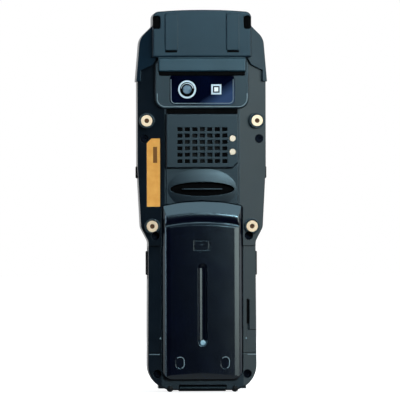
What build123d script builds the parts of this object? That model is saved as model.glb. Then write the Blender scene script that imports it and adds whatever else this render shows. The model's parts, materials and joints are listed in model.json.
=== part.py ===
from build123d import *
import os

# Rugged handheld data terminal, standing on its lower end.
# Millimetres. X runs across, Y from the back (negative) to the display (positive), Z up its length.
# The origin is under the middle of the terminal, at its lowest point.

# Case outline, seen from behind
head_width = 70.4
shoulder_width = 66.8
waist_width = 58.8
grip_width = 59.8
foot_corner = 14.0
grip_length = 81.8
flare_length = 7.6
step_drop = 2.5
head_length = 114.1
lug_drop = 0.9
taper_length = 34.0
flare_round = 5.0
taper_round = 30.0

# Depths
depth = 34.0
front_depth = 11.0
head_inset = 4.0
roof_half = 20.6
roof_fall = 4.6
grip_inset = 6.0
grip_roof_half = 22.6
grip_roof_fall = 2.2
wall = 2.0
back_wall = 1.8
front_wall = 3.2
edge_round = 1.0
front_round = 2.4
fit_gap = 0.3
snug_gap = 0.1

# Nose of the case and the rubber boot over it
boot_length = 34.0
boot_proud = 0.7
boot_wall = 2.4
nose_width = 49.8
nose_length = 5.4
slope_length = 9.0
boot_crown = 5.1
boot_panel_width = 54.0
boot_panel_lift = 1.4
boot_panel_length = 20.7
boot_lobe_skin = 1.8
boot_seam_drop = 4.2
boot_tip_length = 6.0
boot_lean = 2.0
boot_slope_rise = 4.1
boot_nose_rise = 1.8
boot_shoulder_drop = 1.2
boot_lip_length = 6.6
boot_corner = 3.3
boot_strip_width = 6.8
boot_strip_pitch = 33.6
boot_strip_lift = 0.7
boot_strip_length = 20.0
boot_strip_rise = 3.6
boot_notch_width = 4.2
boot_notch_length = 7.2
boot_notch_depth = 1.0

# Scan head
cap_thickness = 1.8
tongue_width = 48.0
bar_height = 7.2
bar_gap = 0.8
bar_lift = 2.2
exit_width = 33.0
exit_depth = 14.0
exit_y = 0.5
pane_thickness = 1.8
pane_margin = 2.0
engine_width = 22.0
engine_depth = 12.0
engine_height = 12.0
engine_drop = 2.2
engine_eye = 2.6
engine_eye_pitch = 11.0
engine_eye_depth = 2.4
bracket_thickness = 2.0
bracket_width = 30.0

# Camera deck
deck_width = 51.4
deck_drop = 49.0
deck_lift = 2.2
deck_corner = 5.5
camera_glass_width = 35.4
camera_glass_height = 16.6
camera_glass_thickness = 1.0
camera_glass_corner = 2.8
camera_drop = 38.5
camera_x = -8.2
ring_radius = 4.9
ring_bore = 4.0
lens_radius = 2.4
ring_lift = 0.3
camera_box = 8.6
camera_box_depth = 4.4
flash_x = 7.8
flash_size = 5.5
flash_bore = 3.7
flash_chip = 2.2

# Speaker plateau and the ribs under it
column_width = 39.6
column_lift = 0.6
plateau_lift = 3.2
plateau_length = 29.5
plateau_rise = 32.6
plateau_corner = 2.4
plateau_cut = 3.0
grille_columns = 7
grille_rows = 6
grille_pitch_x = 4.1
grille_pitch_z = 3.5
grille_hole_x = 2.8
grille_hole_z = 2.1
grille_pocket = 0.9
grille_rise = 45.0
open_columns_by_row = [1, 3, 5, 5, 3, 1]
speaker_width = 25.0
speaker_height = 18.0
speaker_depth = 4.8
mesh_thickness = 0.2
mesh_margin = 1.6
cone_radius = 6.0
contact_radius = 1.7
contact_x = 16.6
contact_pitch = 7.4
contact_lift = 0.3
contact_flange = 0.6
groove_width = 35.2
groove_height = 7.8
groove_depth = 2.4
groove_rise = 21.0
rib_width = 22.0
rib_height = 0.8
swell_width = 57.6
swell_height = 34.4
swell_depth = 4.0
swell_lift = 1.0

# Threaded inserts, screws and label
insert_hole = 1.3
insert_radius = 2.2
insert_flange = 3.1
insert_flange_thickness = 0.8
insert_length = 6.2
insert_proud = 0.2
insert_boss = 4.2
upper_insert_inset = 4.9
upper_insert_rise = 58.5
lower_insert_inset = 6.0
lower_insert_rise = 0.6
screw_shaft = 0.9
screw_head = 2.1
screw_head_height = 1.8
screw_sink = 6.5
screw_length = 16.0
screw_socket = 1.0
screw_boss = 2.6
screw_boss_wall = 1.1
screw_play = 0.2
head_screw_inset = 3.7
head_screw_rise = 48.6
waist_screw_inset = 3.8
waist_screw_drop = 4.6
foot_screw_inset = 5.2
foot_screw_rise = 9.0
label_width = 7.5
label_length = 37.4
label_thickness = 0.3
label_edge = 22.9
label_rise = 11.4
label_cut = 2.6

# Strap slot and panel beside the battery, and the seam of the foot
strap_x = 25.2
strap_width = 1.4
strap_length = 16.4
strap_rise = 33.2
strap_depth = 1.4
panel_width = 5.0
panel_length = 11.6
panel_depth = 0.6
seam_rise = 20.4
seam_width = 0.7
seam_depth = 0.5

# Battery pack and its bay
pack_width = 44.0
pack_rise = 6.0
pack_length = 97.9
pack_arch = 2.9
pack_corner = 6.0
pack_shoulder = 1.6
pack_front_y = -1.8
pack_joint_y = -9.5
pack_side_round = 5.0
pack_side_sink = 1.4
pack_wall = 1.8
pack_back_wall = 3.3
pack_floor = 1.3
bay_floor = 1.8
bay_wall = 1.7
scoop_length = 5.0
scoop_sink = 2.6
scoop_rise = 84.6
hump_sink = 1.0
hump_round = 6.5
scoop_ledge = 1.2
scoop_bend = 100.0
pack_top_sink = 3.8
pack_toe = 3.2
slot_radius = 2.6
slot_length = 45.6
slot_depth = 2.0
slot_rise = 24.1
mark_x = -0.4
mark_rise = 73.7
mark_width = 8.8
mark_height = 5.8
mark_line = 0.7
mark_depth = 0.4
hold_pitch = 24.8
hold_rise = 9.3
hold_width = 5.0
hold_length = 6.8
hold_corner = 2.4
hold_depth = 0.9
cell_width = 19.4
cell_length = 72.0
cell_gap = 0.6
cell_rise = 5.0
pack_board_thickness = 1.2
pack_board_width = 28.0
pad_width = 2.4
pad_length = 6.0
pad_pitch = 4.0
pad_count = 4
pad_depth = 1.0
pad_rise = 82.0
socket_width = 18.0
socket_length = 8.0

# Battery catch
catch_width = 12.0
catch_height = 4.8
catch_depth = 2.4
catch_tooth_width = 8.0
catch_travel = 1.2
rail_width = 1.5
spring_slack = 0.4
spring_wire = 0.4
spring_turns = 4

# Lower end: port lid, its pin and the port
lid_width = 25.6
lid_barrel = 1.6
lid_length = 14.0
lid_thickness = 1.5
lid_pin = 0.6
pin_play = 0.05
lid_axis_inset = 1.4
lug_radius = 2.0
lug_pitch = 35.6
sill = 4.8
port_width = 18.0
port_depth = 3.2
port_length = 7.4
port_wall = 0.5

# Gasket between the shells
seal_inset = 0.5
seal_width = 0.8
seal_height = 0.8

# Boards
board_thickness = 1.2
board_setback = 0.8
board_grip_width = 42.0
board_head_margin = 6.8
board_rise = 5.0
board_drop = 36.4
post_radius = 1.5
post_pitch_x = 34.0
post_pitch_z = 70.0

# Keys on the sides
side_key_length = 6.6
side_key_height = 4.0
side_key_proud = 1.0
side_key_rise = 30.3
side_key_travel = 0.6
scan_key_length = 13.2
scan_key_height = 6.0
scan_key_proud = 1.1
scan_key_drop = 12.0
scan_key_travel = 0.6
scan_pocket_length = 18.0
scan_pocket_height = 7.8
scan_pocket_depth = 0.6
side_key_round = 0.7
key_flange = 0.9
key_flange_margin = 0.8
side_key_y = 2.4
scan_key_y = 1.6
switch_depth = 2.6
switch_height = 3.2
switch_length = 5.0

# Display
side_bezel = 8.7
window_drop = 15.4
window_thickness = 1.7
window_sink = 0.5
window_corner = 3.0
window_rim = 2.5
view_length = 71.0
gasket_thickness = 0.8
lcd_margin = 1.5
lcd_thickness = 4.2

# Keypad
keypad_width = 47.0
keypad_length = 93.0
keypad_rise = 11.2
keypad_sink = 1.8
keypad_corner = 6.0
key_pitch_x = 14.2
key_pitch_z = 12.2
key_width = 11.2
key_height = 8.2
key_corner = 2.5
key_top_sink = 0.4
key_travel = 0.5
first_row_rise = 11.0
key_columns = 3
scan_cap_width = 30.0
scan_cap_height = 9.0
scan_row_rise = 60.5
nav_radius = 8.0
nav_row_rise = 78.5
mat_thickness = 1.2
mat_rim = 1.2
mat_gap = 0.2
keypad_board_thickness = 1.2

# Small electronics
motor_radius = 3.0
motor_length = 10.0
motor_x = -20.0
small_part_rise = 21.0
coin_radius = 5.0
coin_thickness = 3.2
coin_x = 20.0
microphone_radius = 2.0
microphone_height = 2.2
microphone_x = 15.0
microphone_rise = 8.0
sound_hole = 0.6
antenna_width = 40.0
antenna_length = 6.0
antenna_thickness = 0.6
antenna_drop = 26.0

# Places worked out from the sizes
front_y = depth / 2
back_y = -depth / 2
split_y = front_y - front_depth
head_back_y = back_y + head_inset
grip_back_y = back_y + grip_inset
head_half = head_width / 2
upper_insert_pitch = head_width - 2 * upper_insert_inset
lower_insert_pitch = shoulder_width - 2 * lower_insert_inset
head_screw_pitch = head_width - 2 * head_screw_inset
waist_screw_pitch = waist_width - 2 * waist_screw_inset
foot_screw_pitch = grip_width - 2 * foot_screw_inset
board_head_width = head_width - 2 * board_head_margin
view_width = head_width - 2 * side_bezel
window_width = view_width + 2 * window_rim
window_length = view_length + 2 * window_rim
case_z = lug_drop
waist_z = case_z + grip_length
shoulder_z = waist_z + flare_length
case_top_z = shoulder_z + head_length
taper_top_z = shoulder_z + taper_length
boot_side_z = case_top_z - boot_length
slope_z = case_top_z - nose_length - slope_length
nose_z = case_top_z - nose_length
nose_half = nose_width / 2
boot_half = head_half + boot_proud
seat_half = boot_half - boot_wall - snug_gap
front_inner_y = front_y - front_wall
head_inner_y = head_back_y + back_wall
grip_inner_y = grip_back_y + back_wall
bay_floor_y = pack_front_y + fit_gap
bay_top_y = bay_floor_y + bay_floor
pack_z = case_z + pack_rise
pack_top_z = pack_z + pack_length
pack_half = pack_width / 2
bay_half = pack_half + fit_gap + bay_wall
board_y = split_y - board_setback
board_back_y = board_y - board_thickness
board_z = case_z + board_rise
board_top_z = case_top_z - board_drop
plateau_z = shoulder_z + plateau_rise
grille_z = shoulder_z + grille_rise
plateau_y = head_back_y - plateau_lift
column_y = head_back_y - column_lift
deck_y = head_back_y - deck_lift
deck_z = case_top_z - deck_drop
camera_z = case_top_z - camera_drop
boot_seam_z = case_top_z - boot_panel_length
bar_low_z = boot_seam_z - bar_gap - bar_height
tongue_back_y = head_back_y - cap_thickness
boot_panel_y = tongue_back_y - snug_gap - boot_panel_lift
groove_z = shoulder_z + groove_rise
window_z = case_top_z - window_drop - window_length / 2
keypad_z = case_z + keypad_rise + keypad_length / 2
keypad_floor_y = front_y - keypad_sink
first_row_z = case_z + keypad_rise + first_row_rise
lid_axis_y = grip_back_y + lid_axis_inset
lid_axis_z = lug_radius
lid_front_y = lid_axis_y + lid_length
spring_height = (spring_turns + 1) * spring_wire + catch_travel + spring_slack
mat_lift = key_travel + mat_gap
side_key_z = shoulder_z + side_key_rise
scan_key_z = waist_z - scan_key_drop
roof_slope = roof_fall / (head_half - roof_half)
grip_roof_slope = grip_roof_fall / (grip_width / 2 - grip_roof_half)
groove_inner_y = column_y + groove_depth + back_wall
side_slope = (head_half - shoulder_width / 2) / taper_length
key_side_half = head_half - side_slope * (taper_length - side_key_rise)
key_lean = side_slope * (side_key_length / 2 + key_flange_margin)
grip_slope = (grip_width - waist_width) / 2 / grip_length
key_grip_half = waist_width / 2 + grip_slope * scan_key_drop

os.makedirs("parts", exist_ok=True)


def at_depth(y):
    # A plane facing backwards at depth y, with X to the right and Z up.
    return Plane.XZ.offset(-y)


def rim_edges(piece, end):
    # The outer edges of the hindmost (0) or foremost (-1) face, below the boot.
    rim = piece.faces().sort_by(Axis.Y)[end].outer_wire().edges()
    return rim.filter_by(lambda edge: edge.center().Z < boot_side_z - edge_round)


def roof_face(flat_y, flat_half, slope):
    # Section across the case: flat in the middle of the back, falling away towards both sides.
    low_y = flat_y + slope * (head_width - flat_half)
    with BuildSketch() as face:
        with BuildLine():
            Polyline(
                (-head_width, front_y + wall),
                (-head_width, low_y),
                (-flat_half, flat_y),
                (flat_half, flat_y),
                (head_width, low_y),
                (head_width, front_y + wall),
                close=True,
            )
        make_face()
    return face.sketch


def head_roof(sink=0.0):
    return roof_face(head_back_y + sink, roof_half, roof_slope)


def grip_roof(sink=0.0):
    return roof_face(grip_back_y + sink, grip_roof_half, grip_roof_slope)


def trim(face):
    # Keeps what lies inside a section that runs the whole length.
    extrude(face, amount=2 * case_top_z, both=True, mode=Mode.INTERSECT)


def skimmed(x, z, sink):
    # What an even recess takes off the sloping back of the grip.
    with BuildPart() as cut:
        block(x, (2 * back_y, split_y), z)
        extrude(grip_roof(sink), amount=2 * case_top_z, both=True, mode=Mode.SUBTRACT)
    return cut.part


def save(piece, name):
    piece.part.label = name
    export_step(piece.part, f"parts/{name}.step")


def around(middle, size):
    return (middle - size / 2, middle + size / 2)


def block(x, y, z, mode=Mode.ADD):
    # A box between the low and high value of each axis.
    with Locations((sum(x) / 2, sum(y) / 2, sum(z) / 2)):
        Box(x[1] - x[0], y[1] - y[0], z[1] - z[0], mode=mode)


def slab(face, y_front, y_back, mode=Mode.ADD):
    # A face drawn in the view from behind, extruded between two depths.
    with BuildSketch(at_depth(y_front)) as section:
        add(face)
    extrude(section.sketch, amount=y_front - y_back, mode=mode)


def rod(x, z, radius, y_front, y_back, mode=Mode.ADD):
    # A round bar along Y.
    slab(round_face(x, z, radius), y_front, y_back, mode)


def cross_rod(middle, radius, length, mode=Mode.ADD):
    # A round bar along X.
    with Locations(Location(middle, (0, 90, 0))):
        Cylinder(radius, length, mode=mode)


def round_face(x, z, radius):
    with BuildSketch() as face:
        with Locations((x, z)):
            Circle(radius)
    return face.sketch


def soft_face(x, z, width, length, corner):
    # A rectangle with rounded corners.
    with BuildSketch() as face:
        with Locations((x, z)):
            RectangleRounded(width, length, corner)
    return face.sketch


def mirrored_face(points, radii):
    # A closed face from the right half of its outline, bottom to top, with a radius at each inner point.
    with BuildSketch() as face:
        with BuildLine():
            half = FilletPolyline(*points, radius=radii)
            mirror(half, about=Plane.YZ)
        make_face()
    return face.sketch


def grown(face, amount):
    # The same face with its outline moved outwards, or inwards when the amount is negative.
    with BuildSketch() as wider:
        add(face)
        offset(amount=amount, kind=Kind.INTERSECTION)
    return wider.sketch


def between(face, low, high):
    # The stretch of a face between two heights.
    with BuildSketch() as part_of_it:
        add(face)
        with Locations((0, (low + high) / 2)):
            Rectangle(2 * head_width, high - low, mode=Mode.INTERSECT)
    return part_of_it.sketch


def case_face():
    points = [
        (0, case_z),
        (grip_width / 2, case_z),
        (waist_width / 2, waist_z),
        (shoulder_width / 2, shoulder_z),
        (head_half, taper_top_z),
        (head_half, boot_side_z),
        (seat_half, boot_side_z),
        (seat_half - boot_proud, slope_z),
        (nose_half, nose_z),
        (nose_half, case_top_z),
        (0, case_top_z),
    ]
    radii = [foot_corner, flare_round, flare_round, taper_round, 0, 0, flare_round, 0, 0]
    return mirrored_face(points, radii)


def boot_face():
    # From the seam under the boot, down round its skirts and up to the crown.
    top_z = case_top_z + boot_crown
    panel_half = boot_panel_width / 2
    points = [
        (0, boot_seam_z),
        (panel_half - boot_notch_width / 2, boot_seam_z),
        (panel_half, boot_seam_z - boot_seam_drop),
        (seat_half, boot_side_z + boot_tip_length),
        (seat_half, boot_side_z),
        (boot_half, boot_side_z),
        (boot_half - boot_lean, slope_z + boot_slope_rise),
        (panel_half, nose_z + boot_nose_rise),
        (panel_half, top_z - boot_shoulder_drop),
        (panel_half / 2, top_z - boot_shoulder_drop / 8),
        (0, top_z),
    ]
    radii = [boot_wall, boot_wall, 0, 0, 0, slope_length, boot_wall, boot_corner, 3 * head_width]
    return mirrored_face(points, radii)


def pack_face(grow=0.0):
    half = pack_half + grow
    low = pack_z - grow
    top = pack_top_z + grow
    points = [
        (0, low),
        (half, low),
        (half, top - pack_arch),
        (half / 2, top - pack_arch / 4),
        (0, top),
    ]
    return mirrored_face(points, [pack_corner + grow, pack_shoulder + grow, head_width])


case = case_face()
case_inside = grown(case, -wall)
boot_outline = boot_face()


def screw_places():
    head = [(s * head_screw_pitch / 2, shoulder_z + head_screw_rise) for s in (-1, 1)]
    waist = [(s * waist_screw_pitch / 2, shoulder_z - waist_screw_drop) for s in (-1, 1)]
    foot = [(s * foot_screw_pitch / 2, case_z + foot_screw_rise) for s in (-1, 1)]
    return head + waist + foot


def insert_places():
    upper = [(s * upper_insert_pitch / 2, shoulder_z + upper_insert_rise) for s in (-1, 1)]
    lower = [(s * lower_insert_pitch / 2, shoulder_z + lower_insert_rise) for s in (-1, 1)]
    return upper + lower


def grille_places():
    # Column and row of each pocket, with True where it is cut right through.
    for row in range(grille_rows):
        for column in range(grille_columns):
            x = (column - (grille_columns - 1) / 2) * grille_pitch_x
            z = grille_z + ((grille_rows - 1) / 2 - row) * grille_pitch_z
            reach = abs(column - (grille_columns - 1) / 2)
            yield x, z, reach <= open_columns_by_row[row] // 2


label_x = -label_edge - label_width / 2
label_z = shoulder_z + label_rise + label_length / 2
label_y = head_back_y - roof_slope * (roof_half + label_x)
label_plane = Plane(
    origin=(label_x, label_y, label_z), x_dir=(1, -roof_slope, 0), z_dir=(-roof_slope, -1, 0)
).offset(-label_thickness)
screws = screw_places()
inserts = insert_places()
screw_seat_y = head_back_y + screw_sink
step_z = waist_z - step_drop
contact_places = [(contact_x, grille_z + s * contact_pitch / 2) for s in (-1, 1)]
mesh_face = soft_face(
    0, grille_z, speaker_width + 2 * mesh_margin, speaker_height + 2 * mesh_margin, mesh_margin
)
speaker_back_y = plateau_y + back_wall

with BuildSketch() as seal_ring:
    add(grown(case, -seal_inset))
    add(grown(case, -seal_inset - seal_width), mode=Mode.SUBTRACT)
seal_face = seal_ring.sketch
pane_width = exit_width + 2 * pane_margin
pane_depth = exit_depth + 2 * pane_margin
pane_hole_x = around(0, pane_width + 2 * snug_gap)
pane_hole_y = around(exit_y, pane_depth + 2 * snug_gap)


# Room inside the shells' back halves
bay_low_z = pack_z - fit_gap - bay_wall
bay_high_z = pack_top_z + fit_gap + bay_wall
with BuildPart() as rear_room:
    slab(between(case_inside, case_z, step_z + wall), split_y, grip_inner_y)
    trim(grip_roof(back_wall))
    slab(between(case_inside, step_z + wall, case_top_z), split_y, head_inner_y)
    trim(head_roof(back_wall))

# Low oval swelling round the finger groove
with BuildPart() as groove_swell:
    Sphere(1)
    scale(by=(swell_width / 2, swell_depth, swell_height / 2))
    block(
        around(0, swell_width),
        (-2 * swell_depth, swell_lift - swell_depth + snug_gap),
        around(0, swell_height),
        Mode.INTERSECT,
    )

# Rear shell: grip, raised head, speaker column, camera deck and the battery bay
with BuildPart() as rear_shell:
    slab(between(case, case_z - wall, shoulder_z - wall), split_y, grip_back_y)
    fillet(rim_edges(rear_shell, 0), edge_round)
    trim(grip_roof())
    slab(between(case, step_z, case_top_z + wall), split_y, head_back_y)
    fillet(rim_edges(rear_shell, 0), edge_round)
    add(rear_room.part, mode=Mode.SUBTRACT)
    # walls of the battery bay and posts that carry the main board
    block(around(0, 2 * bay_half), (grip_inner_y, bay_top_y), (bay_low_z, bay_high_z))
    block(around(0, 2 * bay_half), (head_inner_y, bay_top_y), (step_z + wall, bay_high_z))
    for post_x in around(0, post_pitch_x):
        for post_z in around(board_z + post_pitch_z / 2 + pack_corner, post_pitch_z):
            rod(post_x, post_z, post_radius, board_back_y, bay_top_y - snug_gap)
    # bosses of the screws
    for x, z in screws:
        rod(x, z, screw_boss, split_y, screw_seat_y - back_wall)
        boss_back_y = head_inner_y if z > step_z else grip_inner_y
        rod(x, z, screw_head + screw_play + screw_boss_wall, screw_seat_y + back_wall, boss_back_y)
    trim(head_roof())
    # raised column, speaker plateau and camera deck down the middle
    column_top_z = deck_z + deck_corner
    column_low_z = pack_top_z - pack_arch
    column_middle = (column_top_z + column_low_z) / 2
    slab(
        soft_face(0, column_middle, column_width, column_top_z - column_low_z, plateau_corner),
        head_inner_y,
        column_y,
    )
    fillet(rear_shell.faces().sort_by(Axis.Y)[0].edges(), column_lift / 2)
    deck_top_z = boot_seam_z - snug_gap
    deck_face = soft_face(0, (deck_z + deck_top_z) / 2, deck_width, deck_top_z - deck_z, deck_corner)
    slab(deck_face, head_inner_y, deck_y)
    fillet(rear_shell.faces().sort_by(Axis.Y)[0].edges(), edge_round / 2)
    with BuildSketch() as plateau:
        with Locations((0, plateau_z + plateau_length / 2)):
            Rectangle(column_width, plateau_length)
        chamfer(plateau.vertices().group_by(Axis.Y)[0].sort_by(Axis.X)[-1], plateau_cut)
    slab(plateau.sketch, head_inner_y, plateau_y)
    fillet(rear_shell.faces().sort_by(Axis.Y)[0].edges(), edge_round / 2)
    # swelling that the finger groove is cut into
    add(groove_swell.part.moved(Location((0, column_y + swell_depth - swell_lift, groove_z))))
    # thicker wall behind the finger groove
    block(
        around(0, groove_width + 2 * wall),
        (head_inner_y - edge_round / 2, groove_inner_y),
        around(groove_z, groove_height + wall),
    )
    slab(pack_face(fit_gap), bay_floor_y, 2 * back_y, Mode.SUBTRACT)
    # bosses and seats of the inserts, and the screw holes
    for x, z in inserts:
        rod(x, z, insert_boss, head_back_y + insert_length, head_back_y)
    for x, z in inserts:
        rod(x, z, insert_radius + pin_play, split_y, 2 * back_y, Mode.SUBTRACT)
        rod(x, z, insert_flange + fit_gap, head_back_y + insert_flange_thickness, 2 * back_y, Mode.SUBTRACT)
    for x, z in screws:
        rod(x, z, screw_shaft + screw_play, split_y, screw_seat_y, Mode.SUBTRACT)
        rod(x, z, screw_head + screw_play, screw_seat_y, 2 * back_y, Mode.SUBTRACT)
    # strap slot, side panel and foot seam on the grip
    strap_low_z = case_z + strap_rise
    add(
        skimmed(around(strap_x, strap_width), (strap_low_z, strap_low_z + strap_length), strap_depth),
        mode=Mode.SUBTRACT,
    )
    add(
        skimmed(
            (strap_x - strap_width / 2, strap_x + panel_width),
            (strap_low_z - panel_length, strap_low_z),
            panel_depth,
        ),
        mode=Mode.SUBTRACT,
    )
    add(
        skimmed(around(0, 2 * head_width), around(case_z + seam_rise, seam_width), seam_depth),
        mode=Mode.SUBTRACT,
    )
    # seat of the scan head cover's tongue on the camera deck
    tongue_low_z = bar_low_z - snug_gap
    block(
        around(0, tongue_width + 2 * snug_gap),
        (2 * back_y, head_back_y),
        (tongue_low_z, case_top_z),
        Mode.SUBTRACT,
    )
    # camera window, camera and flash
    window_floor_y = deck_y + camera_glass_thickness
    camera_glass = soft_face(0, camera_z, camera_glass_width, camera_glass_height, camera_glass_corner)
    slab(grown(camera_glass, snug_gap), window_floor_y, 2 * back_y, Mode.SUBTRACT)
    block(
        around(camera_x, camera_box + 2 * snug_gap),
        (window_floor_y - wall, head_inner_y + wall),
        around(camera_z, camera_box + 2 * snug_gap),
        Mode.SUBTRACT,
    )
    block(
        around(flash_x, flash_bore),
        (window_floor_y - wall, head_inner_y + wall),
        around(camera_z, flash_bore),
        Mode.SUBTRACT,
    )
    # speaker chamber and grille
    slab(grown(mesh_face, snug_gap), split_y, speaker_back_y, Mode.SUBTRACT)
    for x, z, is_open in grille_places():
        bottom_y = speaker_back_y + wall if is_open else plateau_y + grille_pocket
        block(
            around(x, grille_hole_x),
            (plateau_y - wall, bottom_y),
            around(z, grille_hole_z),
            Mode.SUBTRACT,
        )
    for x, z in contact_places:
        rod(x, z, contact_radius + pin_play, split_y, 2 * back_y, Mode.SUBTRACT)
    # finger groove with its rib
    with BuildSketch(at_depth(column_y + groove_depth)) as groove:
        with Locations((0, groove_z)):
            Ellipse(groove_width / 2, groove_height / 2)
            Rectangle(rib_width, rib_height, mode=Mode.SUBTRACT)
    extrude(groove.sketch, amount=groove_depth + swell_lift + wall, mode=Mode.SUBTRACT)
    # label recess on the slope
    with BuildSketch(label_plane):
        Rectangle(label_width + 2 * snug_gap, label_length + 2 * snug_gap)
    extrude(amount=insert_boss, mode=Mode.SUBTRACT)
    # openings of the side keys
    block(
        around(0, 2 * head_width),
        around(side_key_y, side_key_height + 2 * snug_gap),
        around(side_key_z, side_key_length + 2 * snug_gap),
        Mode.SUBTRACT,
    )
    for side in (-1, 1):
        block(
            sorted((side * (key_grip_half - scan_pocket_depth), side * head_width)),
            around(scan_key_y, scan_pocket_height),
            around(scan_key_z, scan_pocket_length),
            Mode.SUBTRACT,
        )
        block(
            around(side * grip_width / 2, 3 * wall),
            around(scan_key_y, scan_key_height + 2 * snug_gap),
            around(scan_key_z, scan_key_length + 2 * snug_gap),
            Mode.SUBTRACT,
        )
    # socket of the battery contacts through the bay floor
    block(
        around(0, socket_width + 2 * snug_gap),
        (bay_floor_y - wall, bay_top_y + wall),
        around(pack_z + pad_rise, socket_length + 2 * snug_gap),
        Mode.SUBTRACT,
    )
    # guide of the battery catch
    catch_z = bay_high_z + fit_gap
    catch_y = groove_inner_y + snug_gap + catch_depth / 2
    for side in (-1, 1):
        rail_x = side * (catch_width / 2 + snug_gap + rail_width / 2)
        block(
            around(rail_x, rail_width),
            (groove_inner_y - edge_round / 2, groove_inner_y + snug_gap + catch_depth),
            (bay_high_z - edge_round / 2, catch_z + catch_height + spring_height + rail_width),
        )
    block(
        around(0, catch_width + 2 * (snug_gap + rail_width)),
        (groove_inner_y - edge_round / 2, groove_inner_y + snug_gap + catch_depth),
        (catch_z + catch_height + spring_height, catch_z + catch_height + spring_height + rail_width),
    )
    block(
        around(0, catch_tooth_width + 2 * snug_gap),
        around(catch_y, catch_depth + 2 * snug_gap),
        (pack_top_z, bay_high_z + wall / 2),
        Mode.SUBTRACT,
    )
    # scan window at the top
    block(pane_hole_x, pane_hole_y, around(case_top_z, 3 * wall), Mode.SUBTRACT)
    # sill under the port, lid bed, lugs and port hole
    block(around(0, 2 * bay_half), (grip_inner_y, split_y), (case_z + wall / 2, case_z + sill))
    lid_gap = lid_width / 2 + fit_gap
    block(
        around(0, 2 * lid_gap),
        (lid_axis_y, lid_front_y + fit_gap),
        (-wall, lid_axis_z + fit_gap),
        Mode.SUBTRACT,
    )
    cross_rod((0, lid_axis_y, lid_axis_z), lid_barrel + fit_gap, 2 * lid_gap, Mode.SUBTRACT)
    block(
        around(0, 2 * lid_gap),
        (2 * back_y, lid_axis_y),
        (-wall, lid_axis_z + lid_barrel + fit_gap),
        Mode.SUBTRACT,
    )
    for side in (-1, 1):
        with Locations((side * lug_pitch / 2, lid_axis_y, lid_axis_z)):
            Sphere(lug_radius)
    cross_rod((0, lid_axis_y, lid_axis_z), lid_pin + pin_play, lug_pitch + lug_radius, Mode.SUBTRACT)
    port_y = board_back_y - port_depth / 2
    block(
        around(0, port_width + 2 * snug_gap),
        around(port_y, port_depth + 2 * snug_gap),
        (-wall, case_z + sill + wall),
        Mode.SUBTRACT,
    )
    # groove of the gasket
    slab(seal_face, split_y, split_y - seal_height, Mode.SUBTRACT)
save(rear_shell, "rear_shell")

# Front shell: display frame and keypad field
key_rows = [["key_1", "key_2", "key_3"], ["key_4", "key_5", "key_6"], ["key_7", "key_8", "key_9"]]
key_rows.append(["key_clear", "key_0", "key_enter"])


def key_faces():
    # Name and face of each cap on the front.
    caps = {}
    for row, names in enumerate(reversed(key_rows)):
        for column, name in enumerate(names):
            # seen from behind, the first column of the keypad is on the right
            x = ((key_columns - 1) / 2 - column) * key_pitch_x
            z = first_row_z + row * key_pitch_z
            caps[name] = soft_face(x, z, key_width, key_height, key_corner)
    caps["key_scan"] = soft_face(
        0, case_z + keypad_rise + scan_row_rise, scan_cap_width, scan_cap_height, key_corner
    )
    caps["key_nav"] = round_face(0, case_z + keypad_rise + nav_row_rise, nav_radius)
    return caps


caps = key_faces()
with BuildPart() as front_shell:
    slab(case, front_y, split_y)
    fillet(rim_edges(front_shell, -1), front_round)
    slab(case_inside, front_inner_y, split_y, Mode.SUBTRACT)
    for x, z in screws:
        rod(x, z, screw_boss, front_inner_y + edge_round, split_y)
    for x, z in screws:
        rod(x, z, screw_shaft + pin_play, screw_seat_y + screw_length + wall, split_y, Mode.SUBTRACT)
    window_face = soft_face(0, window_z, window_width, window_length, window_corner)
    window_back_y = front_y - window_sink - window_thickness
    slab(grown(window_face, snug_gap), front_y + wall, window_back_y, Mode.SUBTRACT)
    slab(soft_face(0, window_z, view_width, view_length, key_corner), front_y, split_y, Mode.SUBTRACT)
    slab(
        soft_face(0, keypad_z, keypad_width, keypad_length, keypad_corner),
        front_y + wall,
        keypad_floor_y,
        Mode.SUBTRACT,
    )
    for cap in caps.values():
        slab(grown(cap, fit_gap), front_y, split_y, Mode.SUBTRACT)
    rod(microphone_x, case_z + microphone_rise, sound_hole, front_y + wall, split_y, Mode.SUBTRACT)
    # step for the boot's lip and the scan window
    boot_lip_z = case_top_z - boot_lip_length
    block(
        around(0, 2 * head_width),
        (front_y - boot_wall + snug_gap, front_y + wall),
        (boot_lip_z - snug_gap, case_top_z + wall),
        Mode.SUBTRACT,
    )
    block(pane_hole_x, pane_hole_y, around(case_top_z, 3 * wall), Mode.SUBTRACT)
save(front_shell, "front_shell")

# Gasket in the joint between the shells
with BuildPart() as case_seal:
    slab(seal_face, split_y, split_y - seal_height)
    block(pane_hole_x, pane_hole_y, around(case_top_z, 3 * wall), Mode.SUBTRACT)
save(case_seal, "case_seal")

# Hard cover over the scan head: a cap with the exit aperture and a tongue that ends in a thick bar
cap_top_z = case_top_z + snug_gap + cap_thickness
exit_span = around(exit_y, exit_depth)
tongue_y = (tongue_back_y, head_back_y - snug_gap)
with BuildPart() as scan_head_cover:
    block(
        around(0, nose_width - 2 * snug_gap),
        (tongue_back_y, front_y - boot_wall),
        (case_top_z + snug_gap, cap_top_z),
    )
    block(around(0, nose_width - 2 * snug_gap), tongue_y, (nose_z, cap_top_z))
    block(around(0, tongue_width), tongue_y, (bar_low_z, cap_top_z))
    block(
        around(0, tongue_width),
        (tongue_back_y - bar_lift, head_back_y - snug_gap),
        (bar_low_z, bar_low_z + bar_height),
    )
    fillet(scan_head_cover.faces().sort_by(Axis.Y)[0].edges(), bar_lift / 3)
    block(around(0, exit_width), exit_span, (case_top_z, cap_top_z + wall), Mode.SUBTRACT)
save(scan_head_cover, "scan_head_cover")

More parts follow.
